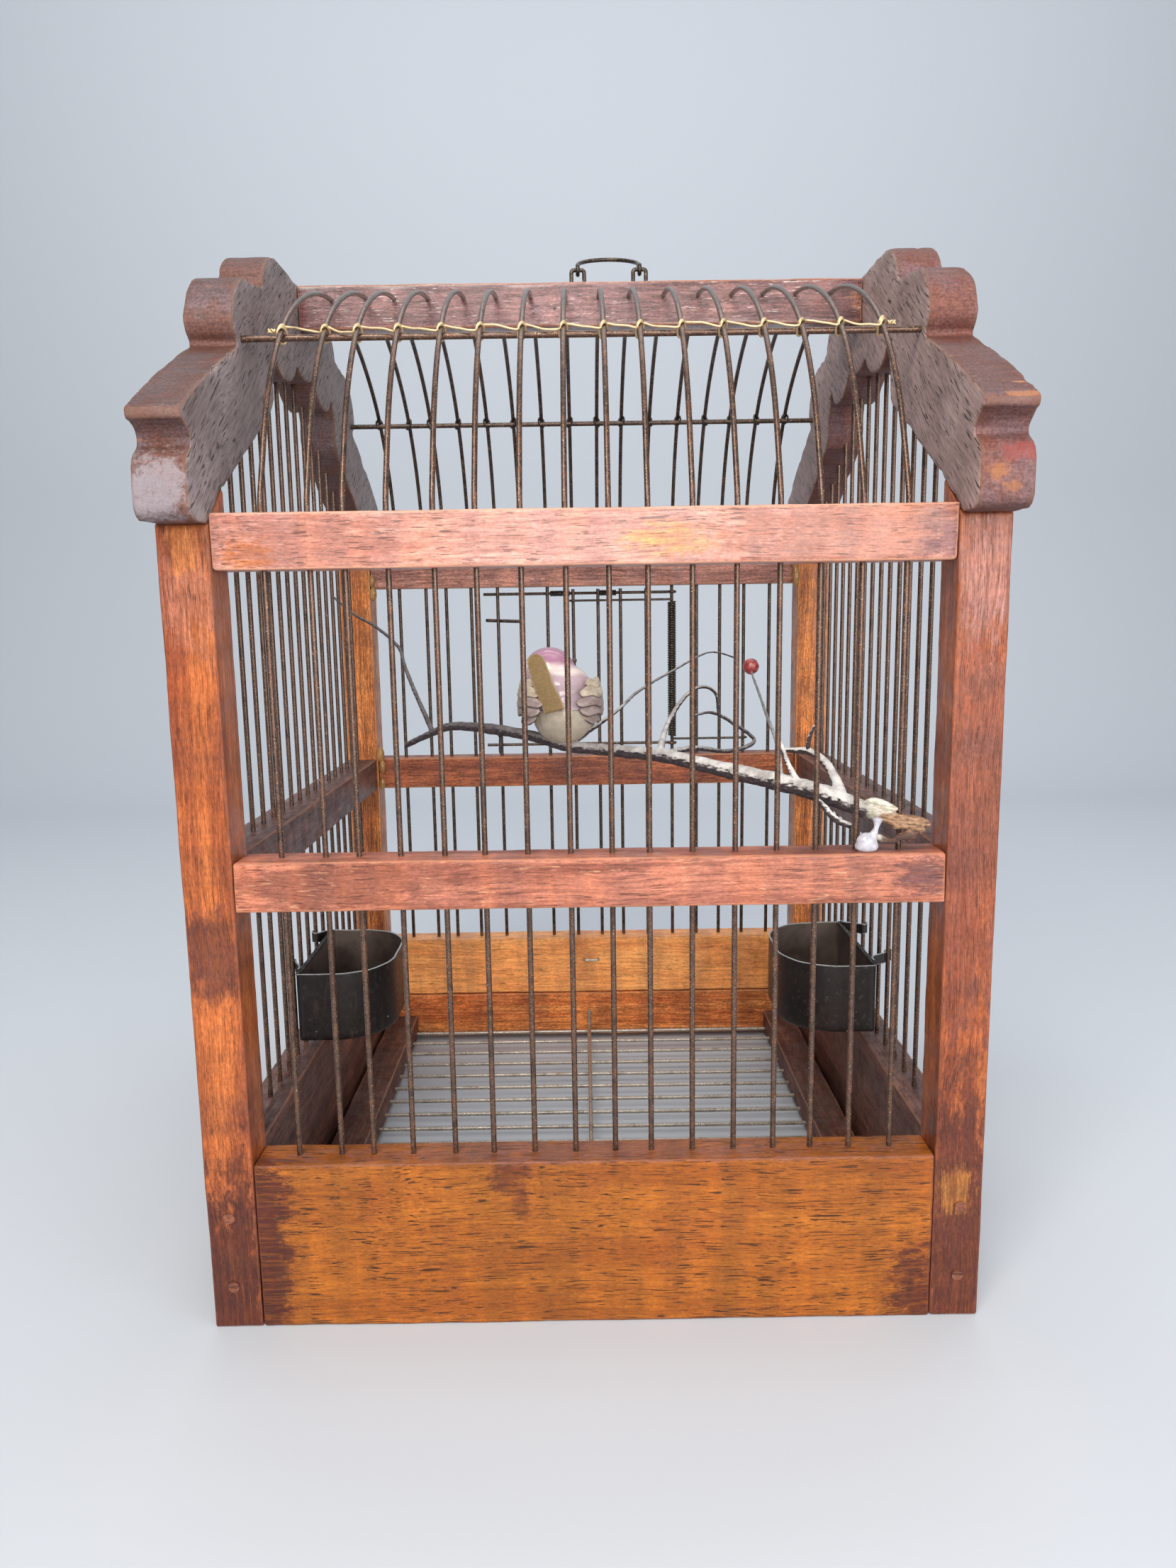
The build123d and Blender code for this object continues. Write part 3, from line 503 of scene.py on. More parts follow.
def tube(path, radius, sides=12, seed=0, wobble=0.0, pits=0.0):
    """Points and faces of a round wire along a path. The radius is one number or one per point."""
    path = np.asarray(path, float)
    count = len(path)
    radii = np.full(count, radius, float) if np.isscalar(radius) else np.asarray(radius, float)
    if wobble:
        ends = np.minimum(np.arange(count), np.arange(count)[::-1])
        ease = np.clip(ends / 3.0, 0, 1)
        path = path + np.array([wander(p, 0.022, seed) for p in path]) * wobble * ease[:, None]
    tangent = np.gradient(path, axis=0)
    tangent /= np.linalg.norm(tangent, axis=1)[:, None]
    helper = np.array((1.0, 0, 0)) if abs(tangent[0][0]) < 0.8 else np.array((0, 1.0, 0))
    side = np.cross(tangent[0], helper)
    side /= np.linalg.norm(side)
    points = []
    for i in range(count):
        side = side - tangent[i] * np.dot(side, tangent[i])
        side /= np.linalg.norm(side)
        other = np.cross(tangent[i], side)
        for k in range(sides):
            a = 2 * math.pi * k / sides
            ray = side * math.cos(a) + other * math.sin(a)
            r = radii[i]
            if pits:
                r *= 1.0 + pits * rough_at(path[i] + ray * 2.0, 0.8, seed)
            points.append(path[i] + ray * r)
    faces = ring_faces(count, sides)
    for ring, turn in ((0, -1), (count - 1, 1)):
        centre = len(points)
        points.append(path[ring] + tangent[ring] * radii[ring] * 0.35 * turn)
        for k in range(sides):
            a, b = ring * sides + k, ring * sides + (k + 1) % sides
            faces.append((a, b, centre) if turn > 0 else (b, a, centre))
    return np.array(points), faces


def gather(parts):
    """Joins several point and face sets into one."""
    points, faces, base = [], [], 0
    for p, f in parts:
        points.append(np.asarray(p, float))
        faces += [tuple(i + base for i in face) for face in f]
        base += len(p)
    return np.vstack(points), faces


def smooth_path(knots, per=6):
    """Catmull-Rom curve through the knots, which may carry a radius as a fourth number."""
    k = np.array(knots, float)
    k = np.vstack([2 * k[0] - k[1], k, 2 * k[-1] - k[-2]])
    out = []
    for i in range(1, len(k) - 2):
        for s in range(per):
            t = s / per
            out.append(0.5 * (2 * k[i] + (k[i + 1] - k[i - 1]) * t
                              + (2 * k[i - 1] - 5 * k[i] + 4 * k[i + 1] - k[i + 2]) * t * t
                              + (3 * k[i] - k[i - 1] - 3 * k[i + 1] + k[i + 2]) * t ** 3))
    out.append(k[-2])
    return np.array(out)


def remeshed(points, faces, voxel, smooth=2):
    """One closed skin over overlapping closed shapes."""
    mesh = bpy.data.meshes.new("work")
    mesh.from_pydata([tuple(v) for v in np.asarray(points) * MM], [],
                     [tuple(int(i) for i in f) for f in faces])
    work = placed("work", mesh)
    skin = work.modifiers.new("skin", "REMESH")
    skin.mode = "VOXEL"
    skin.voxel_size = voxel * MM
    if smooth:
        ease = work.modifiers.new("ease", "SMOOTH")
        ease.iterations = smooth
        ease.factor = 0.5
    graph = bpy.context.evaluated_depsgraph_get()
    made = bpy.data.meshes.new_from_object(work.evaluated_get(graph))
    out = np.empty(len(made.vertices) * 3)
    made.vertices.foreach_get("co", out)
    normals = np.empty(len(made.vertices) * 3)
    made.vertex_normals.foreach_get("vector", normals)
    skin_faces = [tuple(p.vertices) for p in made.polygons]
    bpy.data.objects.remove(work)
    bpy.data.meshes.remove(mesh)
    bpy.data.meshes.remove(made)
    return out.reshape(-1, 3) * 1000, normals.reshape(-1, 3), skin_faces


def node_shape(node):
    mesh = NODES[node].data
    co = np.empty(len(mesh.vertices) * 3)
    mesh.vertices.foreach_get("co", co)
    return co.reshape(-1, 3) * 1000, [tuple(p.vertices) for p in mesh.polygons]


def ridges(points, normals, faces, rounds=8):
    """For each point, how far it stands proud of its smoothed neighbourhood."""
    pairs = set()
    for face in faces:
        for a, b in zip(face, face[1:] + face[:1]):
            pairs.add((a, b) if a < b else (b, a))
    pairs = np.array(sorted(pairs))
    degree = np.zeros(len(points))
    np.add.at(degree, pairs[:, 0], 1)
    np.add.at(degree, pairs[:, 1], 1)
    soft = points.copy()
    for _ in range(rounds):
        total = np.zeros_like(soft)
        np.add.at(total, pairs[:, 0], soft[pairs[:, 1]])
        np.add.at(total, pairs[:, 1], soft[pairs[:, 0]])
        soft = soft * 0.4 + 0.6 * total / degree[:, None]
    return np.einsum("ij,ij->i", points - soft, normals)


# ---------------------------------------------------------------- wooden pieces

make_camera()
make_stage()

# The front top rail's pale pink light colour and pink-white flecks are partly its salmon stain and partly a
# painted sheen of sky reflection.
front_rail_wood = wood("wood_salmon", 0, (0.66, 0.33, 0.262), (0.46, 0.185, 0.14), 1, flecks=0.2,
    coat=0.2, shine=0.5, calm=0.45, streaks=0.5, fleck_colour=(0.88, 0.66, 0.6), wear=0.6,
    worn=(0.66, 0.34, 0.22), stain_amount=0.3, stain=(0.16, 0.045, 0.04), pores=0.75,
    spots=[
        ((-119, -151, 297), (12, 9, 9), (0.62, 0.2, 0.05), 0.9),
        ((-95, -151, 300), (50, 9, 16), (0.34, 0.1, 0.055), 0.55),
        ((30, -151, 301), (20, 9, 7), (0.8, 0.34, 0.07), 0.75),
        ((108, -151, 309), (13, 9, 3), (0.7, 0.28, 0.09), 0.6),
        ((100, -151, 302), (70, 9, 20), (0.4, 0.145, 0.09), 0.85),
        ((133, -151, 300), (17, 9, 16), (0.16, 0.05, 0.058), 0.9)])
mid_rail_wood = wood("wood_red", 0, (0.54, 0.205, 0.13), (0.29, 0.09, 0.056), 2, flecks=0.6, calm=0.45,
    streaks=0.6, fleck_colour=(0.76, 0.46, 0.25), wear=0.45, worn=(0.5, 0.22, 0.12), stain_amount=0.4,
    spots=[
        ((-95, -151, 178), (46, 12, 12), (0.19, 0.06, 0.035), 0.75),
        ((123, -151, 179), (13, 12, 9), (0.07, 0.03, 0.045), 0.85)])
base_wood = wood("wood_golden", 0, (0.395, 0.128, 0.013), (0.3, 0.086, 0.009), 3, wear=0.5,
    worn=(0.16, 0.05, 0.03), stain=(0.24, 0.055, 0.012), stain_amount=0.35, pores=0.95, gloss=0.28,
    streaks=0.34, calm=0.5, open_grain=0.013,
    spots=[
        ((-129, -151, 30), (15, 12, 90), (0.075, 0.016, 0.01), 1.0),
        ((131, -151, 4), (22, 12, 38), (0.085, 0.018, 0.01), 1.0),
        ((135, -151, 40), (5, 12, 30), (0.12, 0.03, 0.015), 0.8),
        ((-32, -151, 62), (10, 12, 9), (0.1, 0.022, 0.012), 0.85),
        ((-28, -151, 50), (5, 12, 8), (0.11, 0.024, 0.012), 0.7),
        ((0, -143, 69), (150, 14, 3.2), (0.28, 0.11, 0.072), 0.8)])
post_front_wood = wood("wood_post_front", 2, (0.5, 0.15, 0.04), (0.27, 0.066, 0.022), 4, wear=0.4,
    calm=0.35, streaks=0.6, worn=(0.22, 0.07, 0.04), stain=(0.12, 0.03, 0.02), stain_amount=0.65,
    gloss=0.32,
    spots=[
        ((-141, -151, 150), (13, 14, 22), (0.1, 0.03, 0.024), 0.8),
        ((-141, -151, 18), (24, 14, 66), (0.08, 0.021, 0.014), 1.0),
        ((141, -151, 30), (26, 14, 100), (0.105, 0.028, 0.018), 1.0),
        ((139, -151, 52), (9, 14, 13), (0.4, 0.165, 0.035), 0.85),
        ((143, -151, 195), (26, 14, 110), (0.21, 0.066, 0.042), 0.85),
        ((143, -151, 290), (16, 14, 30), (0.42, 0.2, 0.17), 0.7),
        ((-141, -151, 285), (16, 14, 26), (0.42, 0.17, 0.11), 0.6),
        ((-141, -151, 300), (7, 14, 12), (0.8, 0.28, 0.06), 0.6)])
post_back_wood = wood("wood_orange", 2, (0.72, 0.27, 0.075), (0.44, 0.14, 0.045), 5, wear=0.4,
    worn=(0.75, 0.38, 0.16), stain=(0.2, 0.06, 0.03), stain_amount=0.5)
side_wood = wood("wood_dark", 1, (0.24, 0.116, 0.09), (0.108, 0.05, 0.043), 6, wear=0.6, scratches=0.35,
    worn=(0.32, 0.15, 0.09), stain_amount=0.3, dust=0.3, gloss=0.4)
# Painted light: the back top rail's colour is lightened to stand in for the light that falls on it inside
# the cage.
back_rail_wood = wood("wood_back_rail", 0, (0.57, 0.28, 0.22), (0.32, 0.14, 0.115), 7, wear=0.5, flecks=0.4,
    worn=(0.52, 0.26, 0.16), stain_amount=0.45)
back_mid_wood = wood("wood_back_mid", 0, (0.46, 0.15, 0.06), (0.24, 0.068, 0.035), 8, wear=0.5,
    worn=(0.55, 0.26, 0.12), stain_amount=0.55)
# Painted light: the back base board's colour is pushed very bright to stand in for the light that falls on
# it inside the cage.
back_board_wood = wood("wood_back_board", 0, (0.98, 0.47, 0.155), (0.9, 0.36, 0.115), 9, wear=0.4,
    calm=0.5, streaks=0.5, worn=(0.34, 0.12, 0.05), stain=(0.44, 0.11, 0.03), stain_amount=0.45)
end_board_wood = wood("wood_end_board", 0, (0.95, 0.4, 0.12), (0.62, 0.17, 0.05), 10, wear=0.4,
    worn=(0.62, 0.28, 0.11), stain=(0.22, 0.05, 0.02), stain_amount=0.6)
runner_wood = wood("wood_runner", 1, (0.2, 0.085, 0.058), (0.085, 0.036, 0.028), 11, wear=0.55,
    worn=(0.4, 0.21, 0.13), stain_amount=0.3, scratches=0.3, dust=0.25, gloss=0.5)
gable_wood = weathered("wood_grey", 12)
ridge_wood = wood("wood_ridge", 0, (0.34, 0.17, 0.17), (0.13, 0.05, 0.054), 13, wear=0.6, flecks=0.9,
    fleck_colour=(0.78, 0.64, 0.62), worn=(0.46, 0.19, 0.1), stain_amount=0.5, gloss=0.2,
    stain=(0.075, 0.028, 0.032), coat=0.5, shine=0.5,
    spots=[
        ((-12, -10.5, 415), (1.3, 4, 1.3), (0.01, 0.008, 0.008), 1.0),
        ((129, -10, 417), (5, 12, 9), (0.5, 0.26, 0.14), 0.7)])
ledge_wood = wood("wood_ledge", 1, (0.2, 0.1, 0.07), (0.1, 0.05, 0.04), 14, gloss=0.55)


POST_PLAIN_TO = 250.0
POST_OUTER_TOP = 308.0
POST_RISE = 14.0


def sloped_top(node):
    """Cuts a post's top along the slope of the gable's lower edge."""
    low, high = limits(node)
    front = high[1] < 0

    def shape(points):
        out = points.copy()
        depth = (points[:, 1] - low[1]) / (high[1] - low[1])
        if not front:
            depth = 1 - depth
        top = POST_OUTER_TOP + POST_RISE * depth
        share = np.clip((points[:, 2] - POST_PLAIN_TO) / (high[2] - POST_PLAIN_TO), 0, 1)
        out[:, 2] = points[:, 2] + (top - high[2]) * share
        return out
    return shape


for side in ("left", "right"):
    for depth, mat, slot in (("front", post_front_wood, "wood_post"),
                             ("back", post_back_wood, "wood_orange")):
        node = "corner_post_" + depth + "_" + side
        board(depth + "_" + side + "_post", node, mat, len(node) + (side == "left"), rim=1.0, dents=0.25,
              slot=slot, shape=sloped_top(node))

board("front_skirt", "front_base_board", base_wood, 21, rim=1.1, slot="wood_golden")
board("back_skirt", "back_base_board", back_board_wood, 22, slot="wood_orange")
board("left_skirt", "left_base_board", side_wood, 23, rim=1.1, slot="wood_dark")
board("right_skirt", "right_base_board", side_wood, 24, rim=1.1, slot="wood_dark")
board("front_middle_rail", "front_mid_rail", mid_rail_wood, 25, rim=1.0, chips=1.0, slot="wood_red")
board("back_middle_rail", "back_mid_rail", back_mid_wood, 26, slot="wood_back_rail")
board("left_middle_rail", "left_mid_rail", side_wood, 27, slot="wood_dark")
board("right_middle_rail", "right_mid_rail", side_wood, 28, slot="wood_dark")
board("front_top_rail", "front_upper_rail", front_rail_wood, 29, rim=1.1, chips=1.0, slot="wood_salmon")
board("back_top_rail", "back_upper_rail", back_rail_wood, 30, slot="wood_back_rail")
board("ridge", "ridge_beam", ridge_wood, 31, rim=1.3, chips=0.9, dents=0.3, slot="wood_ridge")
board("grate_end", "floor_end_board", end_board_wood, 32, slot="wood_orange")
board("left_runner", "floor_runner_left", runner_wood, 33, slot="wood_raw")
board("right_runner", "floor_runner_right", runner_wood, 34, slot="wood_raw")


def carved(name, node, mat, seed, slot):
    """A weathered scroll-cut board over a CAD gable: softened arrises, tool marks and gouges."""
    points, normals, faces = remeshed(*node_shape(node), voxel=1.15, smooth=3)
    proud = ridges(points, normals, faces, 10)
    edge = np.clip(proud / 0.55, 0, 1)
    low, high = limits(node)
    out = points.copy()
    for n, p in enumerate(points):
        mark = 0.5 + 0.5 * rough_at((p[0] * 1.6, p[1] * 0.35, p[2]), 0.11, seed)
        gouge = max(0.0, rough_at((p[0], p[1] * 0.3, p[2]), 0.22, seed + 5) - 0.46) * 1.6
        chip = edge[n] * max(0.0, rough_at(p, 0.09, seed + 8)) * 1.3
        depth = 1.0 - 0.7 * abs(normals[n][0])
        out[n] = p - normals[n] * ((0.22 * mark + gouge) * depth + chip)
    out = np.clip(out, low, high)
    return add_piece(name, out, faces, mat, BODY_OF[node], [node], slot, edge)


carved("left_gable", "gable_left", gable_wood, 41, "wood_grey")
carved("right_gable", "gable_right", gable_wood, 43, "wood_grey")
# ---------------------------------------------------------------- wire pieces


def rusty(name, seed, steel=(0.118, 0.072, 0.054), rust=(0.14, 0.056, 0.026), glint=(0.66, 0.5, 0.34),
          rust_share=0.5, top_z=None, gloss=0.2):
    p = Paint(name, seed)
    mottle = p.noise(p.where, 0.3, 5.0, 0.75)
    grit = p.noise(p.where, 1.6, 4.0, 0.75)
    colour = p.ramp(mottle, 0.62 - rust_share * 0.3, 0.72 - rust_share * 0.1, steel, rust)
    # Painted glints: bright specks mixed into the colour.
    colour = p.mix(p.step(grit, 0.58, 0.68, 0.0, 0.8), colour, glint)
    dark = p.step(p.noise(p.where, 0.12, 3.0, 0.6), 0.5, 0.7, 0.0, 0.6)
    colour = p.mix(dark, colour, tuple(c * 0.4 for c in steel))
    metal = p.step(mottle, 0.35, 0.65, 0.85, 0.35)
    if top_z is not None:
        high = p.step(p.part(p.place, 2), top_z, top_z + 25)
        colour = p.mix(p.mul(high, 0.75), colour, (0.16, 0.15, 0.125))
    rough = p.step(grit, 0.35, 0.75, gloss, gloss + 0.25)
    return p.finish(colour, rough, p.add(mottle, grit), 0.5, 0.00015, metal=metal)


bar_metal = rusty("bar_rust", 51, top_z=392.0)
back_metal = rusty("back_bar_rust", 52, steel=(0.07, 0.05, 0.04), rust=(0.14, 0.07, 0.04))
grate_metal = rusty("grate_zinc", 53, steel=(0.44, 0.39, 0.33), rust=(0.3, 0.17, 0.09),
    glint=(0.8, 0.74, 0.6), rust_share=0.25)
dark_metal = rusty("dark_steel", 54, steel=(0.055, 0.042, 0.032), rust=(0.1, 0.06, 0.035), rust_share=0.3)
brass_metal = rusty("lashing_brass", 55, steel=(0.72, 0.54, 0.3), rust=(0.46, 0.3, 0.13),
    glint=(0.95, 0.84, 0.58), rust_share=0.25, gloss=0.3)
tie_metal = rusty("tie_dark", 56, steel=(0.035, 0.028, 0.022), rust=(0.08, 0.05, 0.03), rust_share=0.2)


def dress(mat, *nodes):
    """Gives CAD nodes whose shape is right a finished material."""
    for node in nodes:
        NODES[node].data.materials.clear()
        NODES[node].data.materials.append(mat)


dress(bar_metal, "front_wires", "left_wires", "right_wires", "front_cross_rod")
dress(back_metal, "back_wires", "back_cross_rod", "door_cross_wires", "door_uprights")
dress(dark_metal, "bail_staples", "bail", "door_spring_top_leg", "door_spring_low_leg")
dress(tie_metal, "door_header_wrap")
dress(grate_metal, "floor_wires", "floor_centre_wire", "board_staple")
peg_wood = wood("wood_peg", 0, (0.3, 0.11, 0.06), (0.14, 0.05, 0.03), 15, streaks=0.3, wear=0.0, gloss=0.45)
dress(peg_wood, "post_pegs")
dress(ledge_wood, "floor_ledges")

# ---------------------------------------------------------------- lashing, ties and spring

ROD = np.array((0.0, -98.4, 381.9))
LEAN = math.radians(40.4)
ALONG = np.array((0.0, math.cos(LEAN), math.sin(LEAN)))
OUTWARD = np.array((0.0, -math.sin(LEAN), math.cos(LEAN)))
BAR_X = (-115.0, -98.5, -86.0, -70.5, -54.0, -39.0, -23.0, -7.0,
         8.5, 22.5, 38.5, 54.5, 70.0, 84.5, 99.5, 115.5)


WRAP_START = -58
WRAP_TURNS = 1.32


def wrap(x, start, turns, flip=1.0, drift=1.0):
    """Points of a loop of thin wire round the rod and one hoop, set slantwise."""
    centre = ROD + OUTWARD * 1.4
    slant = (np.array((flip, 0, 0)) + ALONG) / math.sqrt(2)
    out = []
    steps = int(16 * turns)
    for k in range(steps + 1):
        a = math.radians(start) + 2 * math.pi * turns * k / steps
        shift = ALONG * drift * (k / steps - 0.5)
        spot = centre + OUTWARD * 3.3 * math.cos(a) + slant * 2.2 * math.sin(a) + shift
        out.append(spot + np.array((x, 0, 0)))
    return out


def lashing_path():
    """One wire: a wrap at every hoop and a loose, wavy lead to the next."""
    path = []
    for i, x in enumerate(BAR_X):
        if path:
            a, b = path[-1], wrap(x, WRAP_START, WRAP_TURNS)[0]
            hump = 0.6 * math.sin(i * 2.4)
            for t in (0.28, 0.5, 0.74):
                bow = hump * math.sin(math.pi * t) + 0.25 * math.sin(2 * math.pi * t + i)
                path.append(a + (b - a) * t + np.array((0, -0.3, bow - 0.3)))
        turns = WRAP_TURNS + (i in (0, len(BAR_X) - 1))
        path += wrap(x, WRAP_START, turns, drift=1.1 * turns)
    return path


def mirror_back(points):
    out = np.asarray(points, float).copy()
    out[:, 1] *= -1
    return out


def thin_wire(path, radius, sides=8, per=2, pits=0.05, seed=0):
    return tube(smooth_path(path, per), radius, sides, seed, pits=pits)


lash = [thin_wire(lashing_path(), 0.45, pits=0.02)]
for x, away in ((BAR_X[0], -1), (BAR_X[-1], 1)):
    tail_start = ROD + OUTWARD * 2.2 + np.array((x + away * 2.4, 0, 0))
    for k in range(2):
        knots = [tail_start + np.array((away * 0.9 * t, -0.4 - 0.5 * k + 0.5 * math.sin(t * 2 + k * 3),
                                        0.5 + 0.7 * math.cos(t * 2.1 + k * 3))) for t in range(4)]
        lash.append(thin_wire(knots, 0.4))
points, faces = gather(lash)
add_piece("brass_lashing", points, faces, brass_metal, "frame", ["front_lashing"], "lashing")

ties = []
for i, x in enumerate(BAR_X):
    start = WRAP_START + 25 * rough_at((x, 0, 0), 0.4, 5)
    loop = mirror_back(wrap(x, start, 2.1, flip=1 if i % 2 else -1, drift=1.6))
    ties.append(thin_wire(loop, 0.5, sides=7))
points, faces = gather(ties)
add_piece("dark_ties", points, faces, tie_metal, "frame", ["back_ties"], "tie_dark")

coil_low, coil_high = limits("door_spring_coil")
coil_mid = (coil_low + coil_high) / 2
COIL_TURNS, COIL_STEPS, COIL_REACH, COIL_WIRE = 57, 14, 2.05, 0.69
helix = []
for k in range(COIL_TURNS * COIL_STEPS + 1):
    a = 2 * math.pi * k / COIL_STEPS
    t = k / (COIL_TURNS * COIL_STEPS)
    reach = COIL_REACH + 0.05 * rough_at((0, 0, t * 80), 0.6, 3)
    helix.append((coil_mid[0] + reach * math.cos(a), coil_mid[1] + reach * math.sin(a),
                  coil_low[2] + 0.7 + (coil_high[2] - coil_low[2] - 1.4) * t))
points, faces = tube(helix, COIL_WIRE, 7)
add_piece("spring_coil", points, faces, dark_metal, "door", ["door_spring_coil"], "spring_steel")

# ---------------------------------------------------------------- feeder cups

def sheet_metal(name, seed, shade=1.0):
    """Dark weathered sheet with a pale zinc cut edge, scuffs and a few paint specks."""
    p = Paint(name, seed)
    cloud = p.noise(p.where, 0.05, 5.0, 0.65)
    grime = p.noise(p.where, 0.45, 4.0, 0.7)
    colour = p.ramp(cloud, 0.36, 0.64, (0.017, 0.012, 0.011), (0.042, 0.03, 0.026))
    colour = p.mix(p.step(grime, 0.55, 0.72, 0.0, 0.6), colour, (0.12, 0.088, 0.074))
    # Painted shade: the shade factor darkens the whole sheet's colour.
    colour = p.tinted(colour, (shade, shade, shade))
    run = p.noise(p.stretch(p.where, (1.0, 1.0, 0.12)), 0.5, 3.0, 0.6)
    colour = p.mix(p.step(run, 0.58, 0.72, 0.0, 0.35), colour, (0.075, 0.038, 0.024))
    dot = p.step(p.cells(p.where, 0.2), 0.1, 0.05)
    low_zone = p.step(p.part(p.place, 2), 96.0, 84.0)
    few = p.step(p.noise(p.where, 0.07, 2.0, 0.5), 0.5, 0.58)
    speck = p.mul(p.mul(dot, low_zone), few)
    colour = p.mix(speck, colour, (0.62, 0.58, 0.55))
    # Painted light: the inside of the cup is coloured lighter, as lit.
    inner = p.step(p.attribute("inside"), 0.2, 0.8)
    lit = p.ramp(cloud, 0.38, 0.62, (0.06, 0.042, 0.034), (0.145, 0.108, 0.092))
    colour = p.mix(inner, colour, lit)
    edge = p.attribute("edge")
    bite = p.step(p.add(edge, p.mul(grime, 0.5)), 0.85, 1.15)
    colour = p.mix(bite, colour, (0.46, 0.48, 0.47))
    rough = p.step(grime, 0.3, 0.7, 0.34, 0.55)
    metal = p.step(cloud, 0.4, 0.6, 0.15, 0.4)
    return p.finish(colour, rough, p.add(cloud, p.mul(grime, 0.35)), 0.5, 0.0004, metal=metal)


CUP_HALF, CUP_DEEP, CUP_CORNER = 36.0, 42.0, 26.0
CUP_RIM, CUP_FLOOR = 32.6, 1.0
OUTER_LEVELS = [0.0, 0.5, 1.5] + [3.0 + 28.0 * i / 10 for i in range(11)] + [31.9, CUP_RIM]
HANGER_Y = ((-50.5, -45.3), (5.2, 0.0))  # each strap's cup corner, then the wire it hooks round


def cup_outline(inset):
    """D-shaped outline: distance from the flat back, and distance along it."""
    half, deep, r = CUP_HALF - inset, CUP_DEEP - inset, CUP_CORNER - inset
    out = [(inset + (deep - r - inset) * i / 6, -half) for i in range(6)]
    out += [(deep - r + r * math.sin(a), -half + r - r * math.cos(a))
            for a in (math.radians(90 * i / 14) for i in range(14))]
    out += [(deep, -half + r + (2 * half - 2 * r) * i / 6) for i in range(6)]
    out += [(deep - r + r * math.cos(a), half - r + r * math.sin(a))
            for a in (math.radians(90 * i / 14) for i in range(14))]
    out += [(deep - r - (deep - r - inset) * i / 6, half) for i in range(6)]
    out += [(inset, half - 2 * half * i / 18) for i in range(18)]
    return out


def cup_mesh(node, seed):
    low, high = limits(node)
    left = low[0] < 0
    back = low[0] if left else high[0]
    way = 1.0 if left else -1.0
    mid_y = (low[1] + high[1]) / 2
    points, edge = [], []
    outer, inner = cup_outline(0.25), cup_outline(1.0)
    count = len(outer)

    def ring(outline, z):
        lift = 1.0 if z > 31 else 0.0
        for u, v in outline:
            spot = np.array((back + way * u, mid_y + v, low[2] + z))
            dent = 0.3 * rough_at(spot, 0.045, seed) * min(1.0, z / 6)
            in_u = 0.0 if u < 1.2 else dent
            rise = lift * (0.35 * rough_at(spot, 0.12, seed + 4) - 0.3)
            spot = spot + np.array((way * in_u * 0.8, dent * 0.5 * (0 if abs(v) > 34 else 1), rise))
            points.append(np.clip(spot, low, high))
            edge.append(1.0 if z == CUP_RIM else 0.0)

    for z in OUTER_LEVELS:
        ring(outer if z > 0.6 else cup_outline(0.9 if z == 0.0 else 0.45), z)
    for z in reversed([CUP_FLOOR] + OUTER_LEVELS[3:]):
        ring(inner, z)
    rows = len(points) // count
    faces = ring_faces(rows, count, not left)
    for row, z in ((0, 0.0), (rows - 1, CUP_FLOOR)):
        centre = len(points)
        points.append(np.array((back + way * 20, mid_y, low[2] + z)))
        edge.append(0.0)
        for k in range(count):
            a, b = row * count + k, row * count + (k + 1) % count
            flip = (row == 0) == left
            faces.append((b, a, centre) if flip else (a, b, centre))
    return points, faces, edge


def strap(back, way, corner_y, bar_x, bar_y, z, seed):
    """A strip of the cup's sheet led from its back corner round a wire and curled up on itself."""
    toward = 1.0 if bar_y > corner_y else -1.0
    knots = [(back + way * 0.4, corner_y - toward * 4.5), (back + way * 0.2, corner_y - toward * 1.0),
             (back - way * 1.2, corner_y + toward * 0.8)]
    reach = 1.75
    for turn in range(0, 300, 50):
        a = math.radians(200 - turn)
        knots.append((bar_x - way * reach * math.cos(a), bar_y + toward * reach * math.sin(a)))
    path = smooth_path([(x, y, 0) for x, y in knots], 4)
    slope = np.gradient(path, axis=0)
    slope /= np.linalg.norm(slope, axis=1)[:, None]
    points, edge = [], []
    cols = 7
    for layer in (-0.28, 0.28):
        for i, spot in enumerate(path):
            side = np.array((-slope[i][1], slope[i][0], 0)) * layer
            for c in range(cols):
                t = c / (cols - 1) - 0.5
                fray = 0.5 * rough_at((i * 0.5, c * 0.3, z), 0.6, seed) * (2 * abs(t))
                points.append(spot + side + np.array((0, 0, z + t * 5.0 + fray + 1.6 * i / len(path))))
                edge.append(0.9 if c in (0, cols - 1) or i > len(path) - 3 else 0.3)
    return points, sheet_faces(len(path), cols, flip=True), edge


